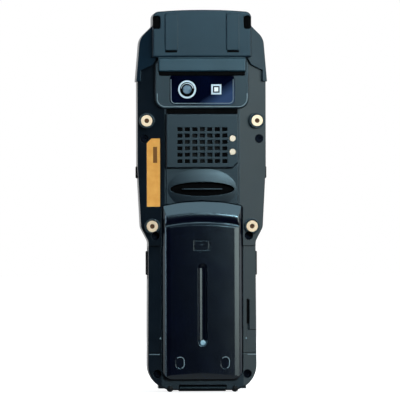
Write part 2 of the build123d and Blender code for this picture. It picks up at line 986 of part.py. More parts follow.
# Rubber boot over the nose
nose_room_face = grown(case, snug_gap)
with BuildPart() as nose_room:
    slab(nose_room_face, front_y - boot_wall + 2 * snug_gap, head_back_y - snug_gap)
    trim(head_roof(-snug_gap))

with BuildPart() as top_bumper:
    slab(boot_outline, front_y, head_back_y - boot_lobe_skin)
    trim(head_roof(-boot_lobe_skin))
    panel_low_z = boot_seam_z
    boot_top_z = case_top_z + boot_crown
    panel_face = between(boot_outline, panel_low_z, boot_top_z + wall)
    with BuildSketch(at_depth(split_y)) as panel:
        add(panel_face)
        with Locations((0, boot_top_z)):
            Rectangle(boot_panel_width, 2 * head_width, mode=Mode.INTERSECT)
    extrude(panel.sketch, amount=split_y - boot_panel_y)
    fillet(top_bumper.faces().sort_by(Axis.Y)[0].edges(), boot_strip_lift)
    strip_z = boot_seam_z + boot_strip_rise + boot_strip_length / 2
    for side in (-1, 1):
        strip = soft_face(
            side * boot_strip_pitch / 2, strip_z, boot_strip_width, boot_strip_length, boot_strip_lift
        )
        slab(strip, boot_panel_y + wall / 2, boot_panel_y - boot_strip_lift)
    # room for the case, the cover's cap and its tongue
    add(nose_room.part, mode=Mode.SUBTRACT)
    slab(between(nose_room_face, case_z, boot_lip_z), front_y + wall, split_y, Mode.SUBTRACT)
    block(
        around(0, nose_width),
        (tongue_back_y - snug_gap, front_y - boot_wall + 2 * snug_gap),
        (nose_z, cap_top_z + snug_gap),
        Mode.SUBTRACT,
    )
    block(
        around(0, tongue_width + 2 * snug_gap),
        (tongue_back_y - snug_gap, split_y),
        (panel_low_z - wall, cap_top_z + snug_gap),
        Mode.SUBTRACT,
    )
    # mouth of the scan window
    block(
        around(0, pane_width),
        around(exit_y, pane_depth),
        (case_top_z, boot_top_z + wall),
        Mode.SUBTRACT,
    )
    # pockets at the upper corners
    for side in (-1, 1):
        notch = soft_face(
            side * (boot_panel_width - boot_notch_width) / 2,
            nose_z + boot_notch_length / 2,
            boot_notch_width,
            boot_notch_length,
            boot_notch_width / 3,
        )
        slab(notch, boot_panel_y + boot_notch_depth, 2 * back_y, Mode.SUBTRACT)
save(top_bumper, "top_bumper")

# Scan window, engine and its bracket
with BuildPart() as scan_window:
    block(
        around(0, pane_width),
        around(exit_y, pane_depth),
        (case_top_z + snug_gap - pane_thickness, case_top_z + snug_gap),
    )
save(scan_window, "scan_window")

engine_top_z = case_top_z - pane_thickness - engine_drop
engine_low_z = engine_top_z - engine_height
with BuildPart() as scan_engine:
    block(around(0, engine_width), around(exit_y, engine_depth), (engine_low_z, engine_top_z))
    for side in (-1, 1):
        with Locations((side * engine_eye_pitch / 2, exit_y, engine_top_z)):
            Cylinder(engine_eye, 2 * engine_eye_depth, mode=Mode.SUBTRACT)
save(scan_engine, "scan_engine")

with BuildPart() as engine_bracket:
    block(
        around(0, bracket_width),
        (head_inner_y, exit_y + engine_depth / 2),
        (engine_low_z - bracket_thickness, engine_low_z),
    )
    block(
        around(0, bracket_width),
        (head_inner_y, head_inner_y + bracket_thickness),
        (engine_low_z - bracket_thickness, engine_top_z),
    )
save(engine_bracket, "engine_bracket")

# Camera: window, ring, lens, module, flash frame and flash
with BuildPart() as camera_window:
    slab(camera_glass, window_floor_y, deck_y + snug_gap)
    rod(camera_x, camera_z, ring_radius + pin_play, window_floor_y + wall, 2 * back_y, Mode.SUBTRACT)
    block(
        around(flash_x, flash_size + snug_gap),
        (2 * back_y, window_floor_y + wall),
        around(camera_z, flash_size + snug_gap),
        Mode.SUBTRACT,
    )
save(camera_window, "camera_window")

with BuildPart() as camera_ring:
    rod(camera_x, camera_z, ring_radius, window_floor_y, deck_y - ring_lift)
    rod(camera_x, camera_z, ring_bore, window_floor_y + wall, 2 * back_y, Mode.SUBTRACT)
save(camera_ring, "camera_ring")

camera_eye_y = window_floor_y - board_thickness / 2
with BuildPart() as camera_module:
    block(
        around(camera_x, camera_box),
        (window_floor_y, window_floor_y + camera_box_depth),
        around(camera_z, camera_box),
    )
    rod(camera_x, camera_z, ring_bore - pin_play, window_floor_y + snug_gap, camera_eye_y)
    rod(camera_x, camera_z, lens_radius + pin_play, window_floor_y + snug_gap, 2 * back_y, Mode.SUBTRACT)
save(camera_module, "camera_module")

with BuildPart() as camera_lens:
    rod(camera_x, camera_z, lens_radius, window_floor_y + snug_gap, camera_eye_y)
    fillet(camera_lens.faces().sort_by(Axis.Y)[0].edges(), ring_lift)
save(camera_lens, "camera_lens")

with BuildPart() as flash_frame:
    block(around(flash_x, flash_size), (deck_y, window_floor_y), around(camera_z, flash_size))
    block(
        around(flash_x, flash_bore),
        (2 * back_y, window_floor_y + wall),
        around(camera_z, flash_bore),
        Mode.SUBTRACT,
    )
save(flash_frame, "flash_frame")

with BuildPart() as flash_led:
    block(
        around(flash_x, flash_bore - snug_gap),
        (window_floor_y + snug_gap, window_floor_y + board_thickness),
        around(camera_z, flash_bore - snug_gap),
    )
    block(
        around(flash_x, flash_chip),
        (deck_y + ring_lift, window_floor_y + wall / 2),
        around(camera_z, flash_chip),
    )
save(flash_led, "flash_led")

# Speaker behind the grille, with its dust mesh
with BuildPart() as speaker_mesh:
    slab(mesh_face, speaker_back_y + mesh_thickness, speaker_back_y)
save(speaker_mesh, "speaker_mesh")

with BuildPart() as speaker:
    frame_y = speaker_back_y + mesh_thickness
    speaker_face = soft_face(0, grille_z, speaker_width, speaker_height, mesh_margin)
    slab(speaker_face, frame_y + speaker_depth, frame_y)
    slab(grown(speaker_face, -mesh_margin), frame_y + mesh_margin, frame_y, Mode.SUBTRACT)
    rod(0, grille_z, cone_radius, frame_y + mesh_margin, frame_y + mesh_thickness)
save(speaker, "speaker")

# Two contacts beside the grille
with BuildPart() as rear_contacts:
    for x, z in contact_places:
        rod(x, z, contact_radius, head_inner_y, plateau_y - contact_lift)
        rod(x, z, contact_radius + contact_flange, head_inner_y + contact_flange, head_inner_y)
save(rear_contacts, "rear_contacts")

# Brass inserts that take an accessory's screws
with BuildPart() as threaded_inserts:
    for x, z in inserts:
        rod(x, z, insert_radius, head_back_y + insert_length, head_back_y)
        rod(x, z, insert_flange, head_back_y + insert_flange_thickness, head_back_y - insert_proud)
        rod(x, z, insert_hole, head_back_y + insert_length - back_wall, 2 * back_y, Mode.SUBTRACT)
save(threaded_inserts, "threaded_inserts")

# Screws that close the case
with BuildPart() as case_screws:
    for x, z in screws:
        rod(x, z, screw_shaft, screw_seat_y + screw_length, screw_seat_y)
        rod(x, z, screw_head, screw_seat_y, screw_seat_y - screw_head_height)
    for x, z in screws:
        with BuildSketch(at_depth(screw_seat_y - screw_head_height / 2)) as socket:
            with Locations((x, z)):
                RegularPolygon(screw_socket, 6)
        extrude(socket.sketch, amount=screw_head_height, mode=Mode.SUBTRACT)
save(case_screws, "case_screws")

# Rating label, left bare, with one corner cut
with BuildPart() as rating_label:
    half_width = label_width / 2
    half_length = label_length / 2
    with BuildSketch(label_plane):
        Polygon(
            (-half_width, -half_length),
            (half_width, -half_length),
            (half_width, half_length),
            (label_cut - half_width, half_length),
            (-half_width, half_length - label_cut),
            align=None,
        )
    extrude(amount=label_thickness)
save(rating_label, "rating_label")

# Battery pack: outer cover with the finger scoop, inner tray, cells, board and pads
with BuildPart() as battery_cover:
    with BuildSketch(Plane.YZ) as profile:
        with BuildLine():
            FilletPolyline(
                (pack_joint_y, pack_top_z),
                (pack_joint_y, pack_z),
                (back_y + pack_toe, pack_z),
                (back_y, pack_z + pack_toe),
                (back_y, pack_top_z),
                radius=[0, 0, pack_toe / 2, pack_toe / 2, 0],
                close=True,
            )
        make_face()
    extrude(amount=pack_half, both=True)
    with BuildSketch() as crown:
        with BuildLine():
            shoulder_y = back_y + pack_side_sink
            ThreePointArc((-pack_half, shoulder_y), (0, back_y), (pack_half, shoulder_y))
            Polyline((pack_half, shoulder_y), (pack_half, 0), (-pack_half, 0), (-pack_half, shoulder_y))
        make_face()
        fillet(crown.vertices().group_by(Axis.Y)[0], pack_side_round)
    trim(crown.sketch)
    slab(pack_face(), pack_joint_y, 2 * back_y, Mode.INTERSECT)
    # finger scoop across the top, bent round to follow the arched end
    scoop_z = pack_z + scoop_rise
    hump_z = scoop_z + scoop_length
    with BuildSketch(Plane.YZ) as scoop:
        with BuildLine():
            FilletPolyline(
                (back_y - scoop_sink, scoop_z - scoop_ledge),
                (back_y + scoop_sink, scoop_z + scoop_ledge),
                (back_y + hump_sink, hump_z),
                (back_y + 2 * pack_top_sink - hump_sink, 2 * pack_top_z - hump_z),
                (back_y - scoop_sink, 2 * pack_top_z - hump_z),
                radius=[0, scoop_ledge, hump_round, 0, 0],
                close=True,
            )
        make_face()
    bend_axis = Axis((0, 0, scoop_z - scoop_bend), (0, 1, 0))
    revolve(scoop.sketch, axis=bend_axis, mode=Mode.SUBTRACT)
    # hollow for the cells
    hollow = soft_face(
        0, pack_z + cell_rise + cell_length / 2, pack_width - 2 * pack_wall, cell_length + fit_gap, snug_gap
    )
    slab(hollow, pack_joint_y, back_y + pack_back_wall, Mode.SUBTRACT)
    # long groove down the middle
    groove_y = back_y + slot_depth - slot_radius
    groove_low_z = pack_z + slot_rise - pack_rise + slot_radius
    groove_high_z = groove_low_z + slot_length - 2 * slot_radius
    with Locations((0, groove_y, (groove_low_z + groove_high_z) / 2)):
        Cylinder(slot_radius, groove_high_z - groove_low_z, mode=Mode.SUBTRACT)
    with Locations((0, groove_y, groove_low_z), (0, groove_y, groove_high_z)):
        Sphere(slot_radius, mode=Mode.SUBTRACT)
    # two finger holds at the lower end
    for side in (-1, 1):
        hold = soft_face(side * hold_pitch / 2, pack_z + hold_rise, hold_width, hold_length, hold_corner)
        slab(hold, back_y + hold_depth, 2 * back_y, Mode.SUBTRACT)
    # engraved charging mark: a cell with a bolt across it
    mark_z = pack_z + mark_rise
    with BuildSketch() as mark:
        with Locations((mark_x, mark_z)):
            Rectangle(mark_width, mark_height)
            Rectangle(mark_width - 2 * mark_line, mark_height - 2 * mark_line, mode=Mode.SUBTRACT)
        with Locations((mark_x + mark_width / 2, mark_z)):
            Rectangle(2 * mark_line, mark_height / 3)
        with BuildLine():
            bolt = [(0.5, 1.0), (-0.25, 0.05), (0.1, 0.05), (-0.2, -0.7), (0.5, 0.25), (0.15, 0.25)]
            Polyline(*((x * mark_height, mark_z + z * mark_height) for x, z in bolt), close=True)
        make_face()
    slab(mark.sketch, back_y + mark_depth, 2 * back_y, Mode.SUBTRACT)
save(battery_cover, "battery_cover")

pad_z = pack_z + pad_rise
pad_places = [(n - (pad_count - 1) / 2) * pad_pitch for n in range(pad_count)]
with BuildPart() as battery_tray:
    slab(pack_face(), pack_front_y, pack_joint_y)
    slab(hollow, pack_front_y - pack_floor, 2 * back_y, Mode.SUBTRACT)
    board_low_z = pack_z + cell_rise + cell_length + fit_gap
    block(
        around(0, pack_board_width + 2 * snug_gap),
        (pack_joint_y - wall, pack_front_y - pack_floor),
        (board_low_z - wall, board_low_z + pack_board_thickness + snug_gap),
        Mode.SUBTRACT,
    )
    for x in pad_places:
        block(
            around(x, pad_width),
            (pack_front_y - pad_depth, front_y),
            around(pad_z, pad_length),
            Mode.SUBTRACT,
        )
save(battery_tray, "battery_tray")

cell_z = around(pack_z + cell_rise + cell_length / 2, cell_length)
cell_y = (back_y + pack_back_wall + snug_gap, pack_front_y - pack_floor - snug_gap)
with BuildPart() as battery_cells:
    for side in (-1, 1):
        block(around(side * (cell_width + cell_gap) / 2, cell_width), cell_y, cell_z)
    fillet(battery_cells.edges().filter_by(Axis.Z), cell_gap)
save(battery_cells, "battery_cells")

with BuildPart() as battery_board:
    block(
        around(0, pack_board_width),
        (pack_joint_y + snug_gap, pack_front_y - pack_floor - snug_gap),
        (board_low_z, board_low_z + pack_board_thickness),
    )
save(battery_board, "battery_board")

with BuildPart() as battery_pads:
    for x in pad_places:
        block(around(x, pad_width), (pack_front_y - pad_depth, pack_front_y), around(pad_z, pad_length))
save(battery_pads, "battery_pads")

# Contact block on the main board that meets the pack's pads
with BuildPart() as battery_socket:
    block(around(0, socket_width), (bay_floor_y + pin_play, board_back_y), around(pad_z, socket_length))
save(battery_socket, "battery_socket")

# Sprung catch above the bay
with BuildPart() as battery_catch:
    catch_span_y = around(catch_y, catch_depth)
    block(around(0, catch_width), catch_span_y, (catch_z, catch_z + catch_height))
    block(around(0, catch_tooth_width), catch_span_y, (pack_top_z + fit_gap + pin_play, catch_z + wall / 2))
save(battery_catch, "battery_catch")

with BuildPart() as catch_spring:
    with BuildSketch(at_depth(catch_y + spring_wire)) as leaf:
        with BuildLine() as zigzag:
            spring_low = catch_z + catch_height + spring_wire / 2
            spring_step = (spring_height - spring_wire) / spring_turns
            reach = catch_width / 3
            Polyline(
                [(reach * (-1) ** n, spring_low + n * spring_step) for n in range(spring_turns + 1)]
            )
        trace(line_width=spring_wire)
    extrude(amount=2 * spring_wire)
save(catch_spring, "catch_spring")

# Port lid at the lower end, its pin and the port behind it
with BuildPart() as port_lid:
    cross_rod((0, lid_axis_y, lid_axis_z), lid_barrel, lid_width)
    lid_low_z = lid_axis_z - lid_barrel
    block(around(0, lid_width), (lid_axis_y, lid_front_y), (lid_low_z, lid_low_z + lid_thickness))
    lid_corners = port_lid.faces().sort_by(Axis.Y)[-1].edges().filter_by(Axis.Z)
    fillet(lid_corners, lid_thickness)
    cross_rod((0, lid_axis_y, lid_axis_z), lid_pin + pin_play, lid_width, Mode.SUBTRACT)
save(port_lid, "port_lid")

with BuildPart() as lid_pin_rod:
    cross_rod((0, lid_axis_y, lid_axis_z), lid_pin, lug_pitch + lug_radius - pin_play)
save(lid_pin_rod, "lid_pin")

with BuildPart() as port_socket:
    port_z = (case_z + sill - port_length / 2, case_z + sill + port_length / 2)
    block(around(0, port_width), around(port_y, port_depth), port_z)
    block(
        around(0, port_width - 2 * port_wall),
        around(port_y, port_depth - 2 * port_wall),
        (port_z[0] - wall, port_z[1] - port_wall),
        Mode.SUBTRACT,
    )
    block(
        around(0, port_width - 4 * port_wall),
        around(port_y, port_wall),
        (port_z[0] + port_wall, port_z[1]),
    )
save(port_socket, "port_socket")

# Main board and what it carries, out to the switches under the side keys
head_key_outer = key_side_half + side_key_proud
head_key_inner = key_side_half - wall - key_lean - snug_gap
grip_key_outer = key_grip_half + scan_key_proud
grip_key_inner = min(waist_width, grip_width) / 2 - wall - snug_gap
head_switch_x = head_key_inner - key_flange - side_key_travel - snug_gap
grip_switch_x = grip_key_inner - key_flange - scan_key_travel - snug_gap
with BuildPart() as main_board:
    block(around(0, board_grip_width), (board_back_y, board_y), (board_z, shoulder_z + wall))
    block(around(0, 2 * grip_switch_x), (board_back_y, board_y), around(scan_key_z, scan_key_length))
    block(around(0, board_head_width), (board_back_y, board_y), (shoulder_z + wall, board_top_z))
    block(around(0, 2 * head_switch_x), (board_back_y, board_y), around(side_key_z, side_key_length + wall))
save(main_board, "main_board")

small_z = shoulder_z + small_part_rise
with BuildPart() as vibration_motor:
    cross_rod((motor_x, board_back_y - motor_radius, small_z), motor_radius, motor_length)
save(vibration_motor, "vibration_motor")

with BuildPart() as backup_cell:
    rod(coin_x, small_z, coin_radius, board_back_y, board_back_y - coin_thickness)
save(backup_cell, "backup_cell")

with BuildPart() as microphone:
    rod(microphone_x, case_z + microphone_rise, microphone_radius, board_y + microphone_height, board_y)
save(microphone, "microphone")

with BuildPart() as antenna:
    antenna_z = around(case_top_z - antenna_drop, antenna_length)
    block(around(0, antenna_width), (head_inner_y, head_inner_y + antenna_thickness), antenna_z)
save(antenna, "antenna")


def side_key(key, side, span, middle, length, height):
    # A key that stands out through the wall with rounded edges, and a flange behind it.
    outer_x, inner_x = span
    y, z = middle
    block(sorted((side * outer_x, side * inner_x)), around(y, height), around(z, length))
    fillet(key.faces().sort_by(Axis.X)[0 if side < 0 else -1].edges(), side_key_round)
    block(
        sorted((side * inner_x, side * (inner_x - key_flange))),
        around(y, height + 2 * key_flange_margin),
        around(z, length + 2 * key_flange_margin),
    )


# Small keys on the sides of the head and long scan keys on the sides of the grip
for side, hand in ((-1, "left"), (1, "right")):
    with BuildPart() as head_key:
        span = (head_key_outer, head_key_inner)
        side_key(head_key, side, span, (side_key_y, side_key_z), side_key_length, side_key_height)
    save(head_key, f"side_key_{hand}")
    with BuildPart() as grip_key:
        span = (grip_key_outer, grip_key_inner)
        side_key(grip_key, side, span, (scan_key_y, scan_key_z), scan_key_length, scan_key_height)
    save(grip_key, f"scan_key_{hand}")

with BuildPart() as side_switches:
    for side in (-1, 1):
        for near_x, z in ((head_switch_x, side_key_z), (grip_switch_x, scan_key_z)):
            block(
                sorted((side * near_x, side * (near_x - switch_depth))),
                (board_back_y - switch_height, board_back_y),
                around(z, switch_length),
            )
save(side_switches, "side_switches")

# Display: window, gasket and panel
with BuildPart() as display_window:
    slab(window_face, window_back_y + window_thickness, window_back_y)
save(display_window, "display_window")

lcd_face = soft_face(
    0, window_z, view_width + 2 * lcd_margin, view_length + 2 * lcd_margin, lcd_margin
)
with BuildPart() as display_gasket:
    slab(lcd_face, front_inner_y, front_inner_y - gasket_thickness)
    slab(
        soft_face(0, window_z, view_width, view_length, key_corner),
        front_y,
        split_y,
        Mode.SUBTRACT,
    )
save(display_gasket, "display_gasket")

with BuildPart() as lcd_panel:
    slab(lcd_face, front_inner_y - gasket_thickness, front_inner_y - gasket_thickness - lcd_thickness)
save(lcd_panel, "lcd_panel")

# Keypad: caps, rubber mat and board
flange_top_y = front_inner_y - snug_gap
mat_floor_y = flange_top_y - key_flange - mat_lift
for name, cap in caps.items():
    with BuildPart() as key:
        slab(cap, front_y - key_top_sink, flange_top_y - key_flange)
        fillet(key.faces().sort_by(Axis.Y)[-1].edges(), key_top_sink)
        slab(grown(cap, key_flange_margin), flange_top_y, flange_top_y - key_flange)
    save(key, name)

mat_width = keypad_width - 2 * mat_rim
mat_length = keypad_length - 2 * mat_rim
with BuildPart() as keypad_mat:
    mat_face = soft_face(0, keypad_z, mat_width, mat_length, keypad_corner)
    slab(mat_face, front_inner_y, mat_floor_y - mat_thickness)
    slab(grown(mat_face, -mat_rim), front_y, mat_floor_y, Mode.SUBTRACT)
save(keypad_mat, "keypad_mat")

with BuildPart() as keypad_board:
    slab(mat_face, mat_floor_y - mat_thickness, mat_floor_y - mat_thickness - keypad_board_thickness)
save(keypad_board, "keypad_board")
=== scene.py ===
import json
import math

import bmesh
import bpy
from mathutils import Matrix, Vector


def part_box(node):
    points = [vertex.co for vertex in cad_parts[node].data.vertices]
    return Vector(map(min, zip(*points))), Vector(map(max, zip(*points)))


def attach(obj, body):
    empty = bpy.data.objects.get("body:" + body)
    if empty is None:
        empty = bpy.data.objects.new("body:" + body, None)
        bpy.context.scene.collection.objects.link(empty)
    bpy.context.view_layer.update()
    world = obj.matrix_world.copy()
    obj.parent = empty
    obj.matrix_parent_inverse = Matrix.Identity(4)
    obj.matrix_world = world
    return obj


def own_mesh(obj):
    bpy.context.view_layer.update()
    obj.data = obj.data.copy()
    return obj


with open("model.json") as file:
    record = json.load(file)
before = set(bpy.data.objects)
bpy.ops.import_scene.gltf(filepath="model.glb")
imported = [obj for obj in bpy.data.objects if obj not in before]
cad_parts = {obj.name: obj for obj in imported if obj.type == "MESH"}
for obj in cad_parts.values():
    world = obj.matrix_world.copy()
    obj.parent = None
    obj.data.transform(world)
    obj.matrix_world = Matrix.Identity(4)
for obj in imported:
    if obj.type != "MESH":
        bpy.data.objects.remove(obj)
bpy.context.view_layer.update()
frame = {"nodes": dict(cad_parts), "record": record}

nodes = frame["nodes"]
print("frame loaded:", len(nodes), "nodes")

millimetre = 0.001
# a noise value mostly keeps between these two
noiseReach = (0.3, 0.7)
edgeSamples = 6
# sockets of a Mix node that mixes colours
mixFactor, mixFirst, mixSecond, mixResult = 0, 6, 7, 2


def linear(colour):
    # 0 to 255 as picked on screen, to the shader's own scale
    return tuple((c / 255) ** 2.2 for c in colour) + (1.0,)


def startFinish(name, values):
    finish = bpy.data.materials.new(name)
    finish.use_nodes = True
    shader = finish.node_tree.nodes["Principled BSDF"]
    settings = {
        "Metallic": values.get("metal", 0.0),
        "Specular IOR Level": values.get("shine", 0.5),
        "Specular Tint": (*values.get("sheenTint", (1.0, 1.0, 1.0)), 1.0),
        "Coat Weight": values.get("coat", 0.0),
        "Coat Roughness": values.get("coatRough", 0.05),
    }
    for socket, value in settings.items():
        shader.inputs[socket].default_value = value
    return finish, finish.node_tree, shader


def addNode(tree, kind, **settings):
    node = tree.nodes.new(kind)
    for key, value in settings.items():
        if hasattr(node, key):
            setattr(node, key, value)
        else:
            node.inputs[key].default_value = value
    return node


def noise(tree, scale, detail=3.0, stretch=None):
    out = addNode(tree, "ShaderNodeTexCoord").outputs["Object"]
    if stretch:
        turn = addNode(tree, "ShaderNodeMapping", Scale=stretch)
        tree.links.new(out, turn.inputs["Vector"])
        out = turn.outputs["Vector"]
    grain = addNode(tree, "ShaderNodeTexNoise", Scale=scale, Detail=detail)
    tree.links.new(out, grain.inputs["Vector"])
    return grain.outputs["Fac"]


def mapRange(tree, source, reach, target=(0.0, 1.0)):
    # spreads a value that runs over reach, so that it runs over target
    spread = addNode(tree, "ShaderNodeMapRange")
    for socket, value in zip(("From Min", "From Max", "To Min", "To Max"), (*reach, *target)):
        spread.inputs[socket].default_value = value
    tree.links.new(source, spread.inputs["Value"])
    return spread.outputs["Result"]


def maths(tree, operation, first, second):
    # a sum, product or larger value of two, kept between 0 and 1
    node = addNode(tree, "ShaderNodeMath", operation=operation, use_clamp=True)
    tree.links.new(first, node.inputs[0])
    tree.links.new(second, node.inputs[1])
    return node.outputs[0]


def mixColour(tree, factor, colour, other):
    # a colour from the tree, turning into a plain one where the factor is 1
    mix = addNode(tree, "ShaderNodeMix", data_type="RGBA")
    tree.links.new(factor, mix.inputs[mixFactor])
    tree.links.new(colour, mix.inputs[mixFirst])
    mix.inputs[mixSecond].default_value = linear(other)
    return mix.outputs[mixResult]


def tint(tree, source, values):
    ramp = addNode(tree, "ShaderNodeValToRGB")
    for stop, place, shade in zip(ramp.color_ramp.elements, noiseReach, ("dark", "light")):
        stop.position = place
        stop.color = linear(values[shade])
    tree.links.new(source, ramp.inputs["Fac"])
    return ramp.outputs["Color"]


def roughen(tree, shader, source, values):
    rough = mapRange(tree, source, noiseReach, values["rough"])
    tree.links.new(rough, shader.inputs["Roughness"])


def relief(tree, shader, source, values):
    # fine bumps, and edges rounded in the light where the finish gives them a radius
    bump = addNode(tree, "ShaderNodeBump", Distance=values["height"], Strength=1.0)
    tree.links.new(source, bump.inputs["Height"])
    if "edge" in values:
        soft = addNode(tree, "ShaderNodeBevel", samples=edgeSamples, Radius=values["edge"])
        tree.links.new(soft.outputs["Normal"], bump.inputs["Normal"])
    tree.links.new(bump.outputs["Normal"], shader.inputs["Normal"])


def moulded(name, values):
    # plastic or rubber from a tool with an eroded grain, rubbed a little unevenly in use
    rubShare, rubDetail, grainDetail = 3.1, 5.0, 2.0
    finish, tree, shader = startFinish(name, values)
    colour = tint(tree, noise(tree, values["patch"]), values)
    tree.links.new(colour, shader.inputs["Base Color"])
    roughen(tree, shader, noise(tree, values["patch"] * rubShare, rubDetail), values)
    relief(tree, shader, noise(tree, values["grain"], grainDetail), values)
    return finish


def brushed(name, values):
    # turned or rolled metal with fine lines along one direction
    lineDetail = 2.0
    finish, tree, shader = startFinish(name, {"metal": 1.0, **values})
    lines = noise(tree, values["grain"], lineDetail, values["stretch"])
    tree.links.new(tint(tree, lines, values), shader.inputs["Base Color"])
    roughen(tree, shader, lines, values)
    relief(tree, shader, lines, values)
    return finish


casePlastic = {
    "dark": (8, 14, 22), "light": (12, 20, 29), "patch": 60.0, "rough": (0.35, 0.4),
    "grain": 2600.0, "height": 0.000012, "edge": 0.0004, "shine": 0.52,
    "sheenTint": (0.72, 0.9, 1.0),
}
bootRubber = {
    "dark": (13, 27, 38), "light": (18, 34, 46), "patch": 45.0, "rough": (0.37, 0.42),
    "grain": 2200.0, "height": 0.000016, "edge": 0.0007, "shine": 0.42,
    "sheenTint": (0.66, 0.88, 1.0),
}
packPlastic = {
    "dark": (2, 5, 19), "light": (5, 9, 26), "patch": 50.0, "rough": (0.17, 0.19),
    "grain": 2800.0, "height": 0.000001, "edge": 0.0004, "shine": 0.95,
    "sheenTint": (0.68, 0.9, 1.0), "coat": 0.15, "coatRough": 0.22,
}
finishes = {
    "case_plastic": moulded("casePlastic", casePlastic),
    "boot_rubber": moulded("bootRubber", bootRubber),
    "pack_plastic": moulded("packPlastic", packPlastic),
    "tray_plastic": moulded("trayPlastic", {
        **packPlastic, "rough": (0.4, 0.5), "height": 0.00002}),
    "seal_rubber": moulded("sealRubber", {
        "dark": (14, 15, 17), "light": (24, 25, 28), "patch": 120.0, "rough": (0.6, 0.75),
        "grain": 1800.0, "height": 0.00003, "edge": 0.0002, "shine": 0.2}),
    "key_rubber": moulded("keyRubber", {
        "dark": (26, 28, 31), "light": (36, 38, 41), "patch": 90.0, "rough": (0.6, 0.72),
        "grain": 1600.0, "height": 0.00002, "edge": 0.0004, "shine": 0.2}),
    "key_cap": moulded("keyCap", {
        "dark": (56, 60, 64), "light": (66, 70, 74), "patch": 110.0, "rough": (0.45, 0.6),
        "grain": 2400.0, "height": 0.000012, "edge": 0.0005, "shine": 0.35}),
    "scan_key_cap": moulded("scanKeyCap", {
        "dark": (226, 148, 44), "light": (238, 164, 60), "patch": 110.0, "rough": (0.42, 0.55),
        "grain": 2400.0, "height": 0.000012, "edge": 0.0005, "shine": 0.4}),
    "module_plastic": moulded("modulePlastic", {
        "dark": (16, 18, 22), "light": (25, 27, 31), "patch": 150.0, "rough": (0.35, 0.5),
        "grain": 3000.0, "height": 0.00001, "edge": 0.0002, "shine": 0.35}),
    "cell_wrap": moulded("cellWrap", {
        "dark": (30, 96, 122), "light": (40, 112, 140), "patch": 60.0, "rough": (0.18, 0.32),
        "grain": 240.0, "height": 0.00004, "edge": 0.0004, "shine": 0.5}),
    "mesh_fabric": moulded("meshFabric", {
        "dark": (4, 5, 8), "light": (16, 18, 22), "patch": 2600.0, "rough": (0.6, 0.8),
        "grain": 4200.0, "height": 0.00003, "shine": 0.2}),
    "lcd_stack": moulded("lcdStack", {
        "dark": (24, 27, 32), "light": (32, 36, 42), "patch": 70.0, "rough": (0.2, 0.3),
        "grain": 900.0, "height": 0.000004, "edge": 0.0003, "shine": 0.5}),
    "engine_metal": brushed("engineMetal", {
        "dark": (96, 98, 102), "light": (128, 130, 134), "grain": 1400.0,
        "stretch": (1.0, 1.0, 1.0), "rough": (0.42, 0.58), "height": 0.00002, "edge": 0.0002}),
    "bracket_metal": brushed("bracketMetal", {
        "dark": (150, 152, 156), "light": (186, 188, 192), "grain": 900.0,
        "stretch": (0.08, 1.0, 1.0), "rough": (0.28, 0.4), "height": 0.00001, "edge": 0.0003}),
    "screw_steel": brushed("screwSteel", {
        "dark": (14, 16, 21), "light": (26, 29, 36), "grain": 2400.0,
        "stretch": (1.0, 1.0, 1.0), "rough": (0.3, 0.42), "height": 0.00001, "edge": 0.0002}),
    "ring_metal": brushed("ringMetal", {
        "dark": (158, 164, 172), "light": (196, 202, 210), "grain": 3000.0,
        "stretch": (1.0, 0.2, 1.0), "rough": (0.3, 0.4), "height": 0.000003, "edge": 0.0001}),
    "gold_contact": brushed("goldContact", {
        "dark": (194, 172, 148), "light": (216, 194, 178), "grain": 3600.0,
        "stretch": (1.0, 1.0, 1.0), "rough": (0.42, 0.52), "height": 0.000004,
        "edge": 0.0003}),
    "insert_brass": brushed("insertBrass", {
        "dark": (214, 176, 144), "light": (238, 206, 178), "grain": 2800.0,
        "stretch": (1.0, 0.3, 1.0), "rough": (0.36, 0.46), "height": 0.000004,
        "edge": 0.00012}),
}
print("moulded and metal finishes ready")


def glassy(name, values):
    # clear or smoked sheet: smooth face, faint smears, a tint that drifts over it, and where
    # asked a painted reflection towards one corner
    driftDetail, smearDetail = 1.0, 4.0
    finish, tree, shader = startFinish(name, values)
    colour = tint(tree, noise(tree, values["patch"], driftDetail), values)
    if "corner" in values:
        # painted reflection: the colour changes to another one towards one corner, standing in
        # for a reflection in the glass
        place = addNode(tree, "ShaderNodeTexCoord")
        along = addNode(tree, "ShaderNodeVectorMath", operation="DOT_PRODUCT")
        along.inputs[1].default_value = values["cornerWay"]
        tree.links.new(place.outputs["Object"], along.inputs[0])
        near = mapRange(tree, along.outputs["Value"], values["cornerSpan"])
        colour = mixColour(tree, near, colour, values["corner"])
    tree.links.new(colour, shader.inputs["Base Color"])
    smear = noise(tree, values["smear"], smearDetail)
    roughen(tree, shader, smear, values)
    relief(tree, shader, smear, values)
    return finish


def boardLaminate(name, values):
    # solder mask over copper: pads on a grid, tracks in broken bands
    finish, tree, shader = startFinish(name, values)
    place = addNode(tree, "ShaderNodeTexCoord")
    turn = addNode(tree, "ShaderNodeMapping", Rotation=(math.pi / 2, 0.0, 0.0))
    tracks = addNode(tree, "ShaderNodeTexBrick", Scale=values["tracks"])
    tracks.inputs["Color1"].default_value = linear(values["dark"])
    tracks.inputs["Color2"].default_value = linear(values["light"])
    tracks.inputs["Mortar"].default_value = linear(values["copper"])
    tracks.inputs["Mortar Size"].default_value = values["copperWidth"]
    tree.links.new(place.outputs["Object"], turn.inputs["Vector"])
    tree.links.new(turn.outputs["Vector"], tracks.inputs["Vector"])
    tree.links.new(tracks.outputs["Color"], shader.inputs["Base Color"])
    roughen(tree, shader, noise(tree, values["smear"]), values)
    relief(tree, shader, tracks.outputs["Fac"], values)
    return finish
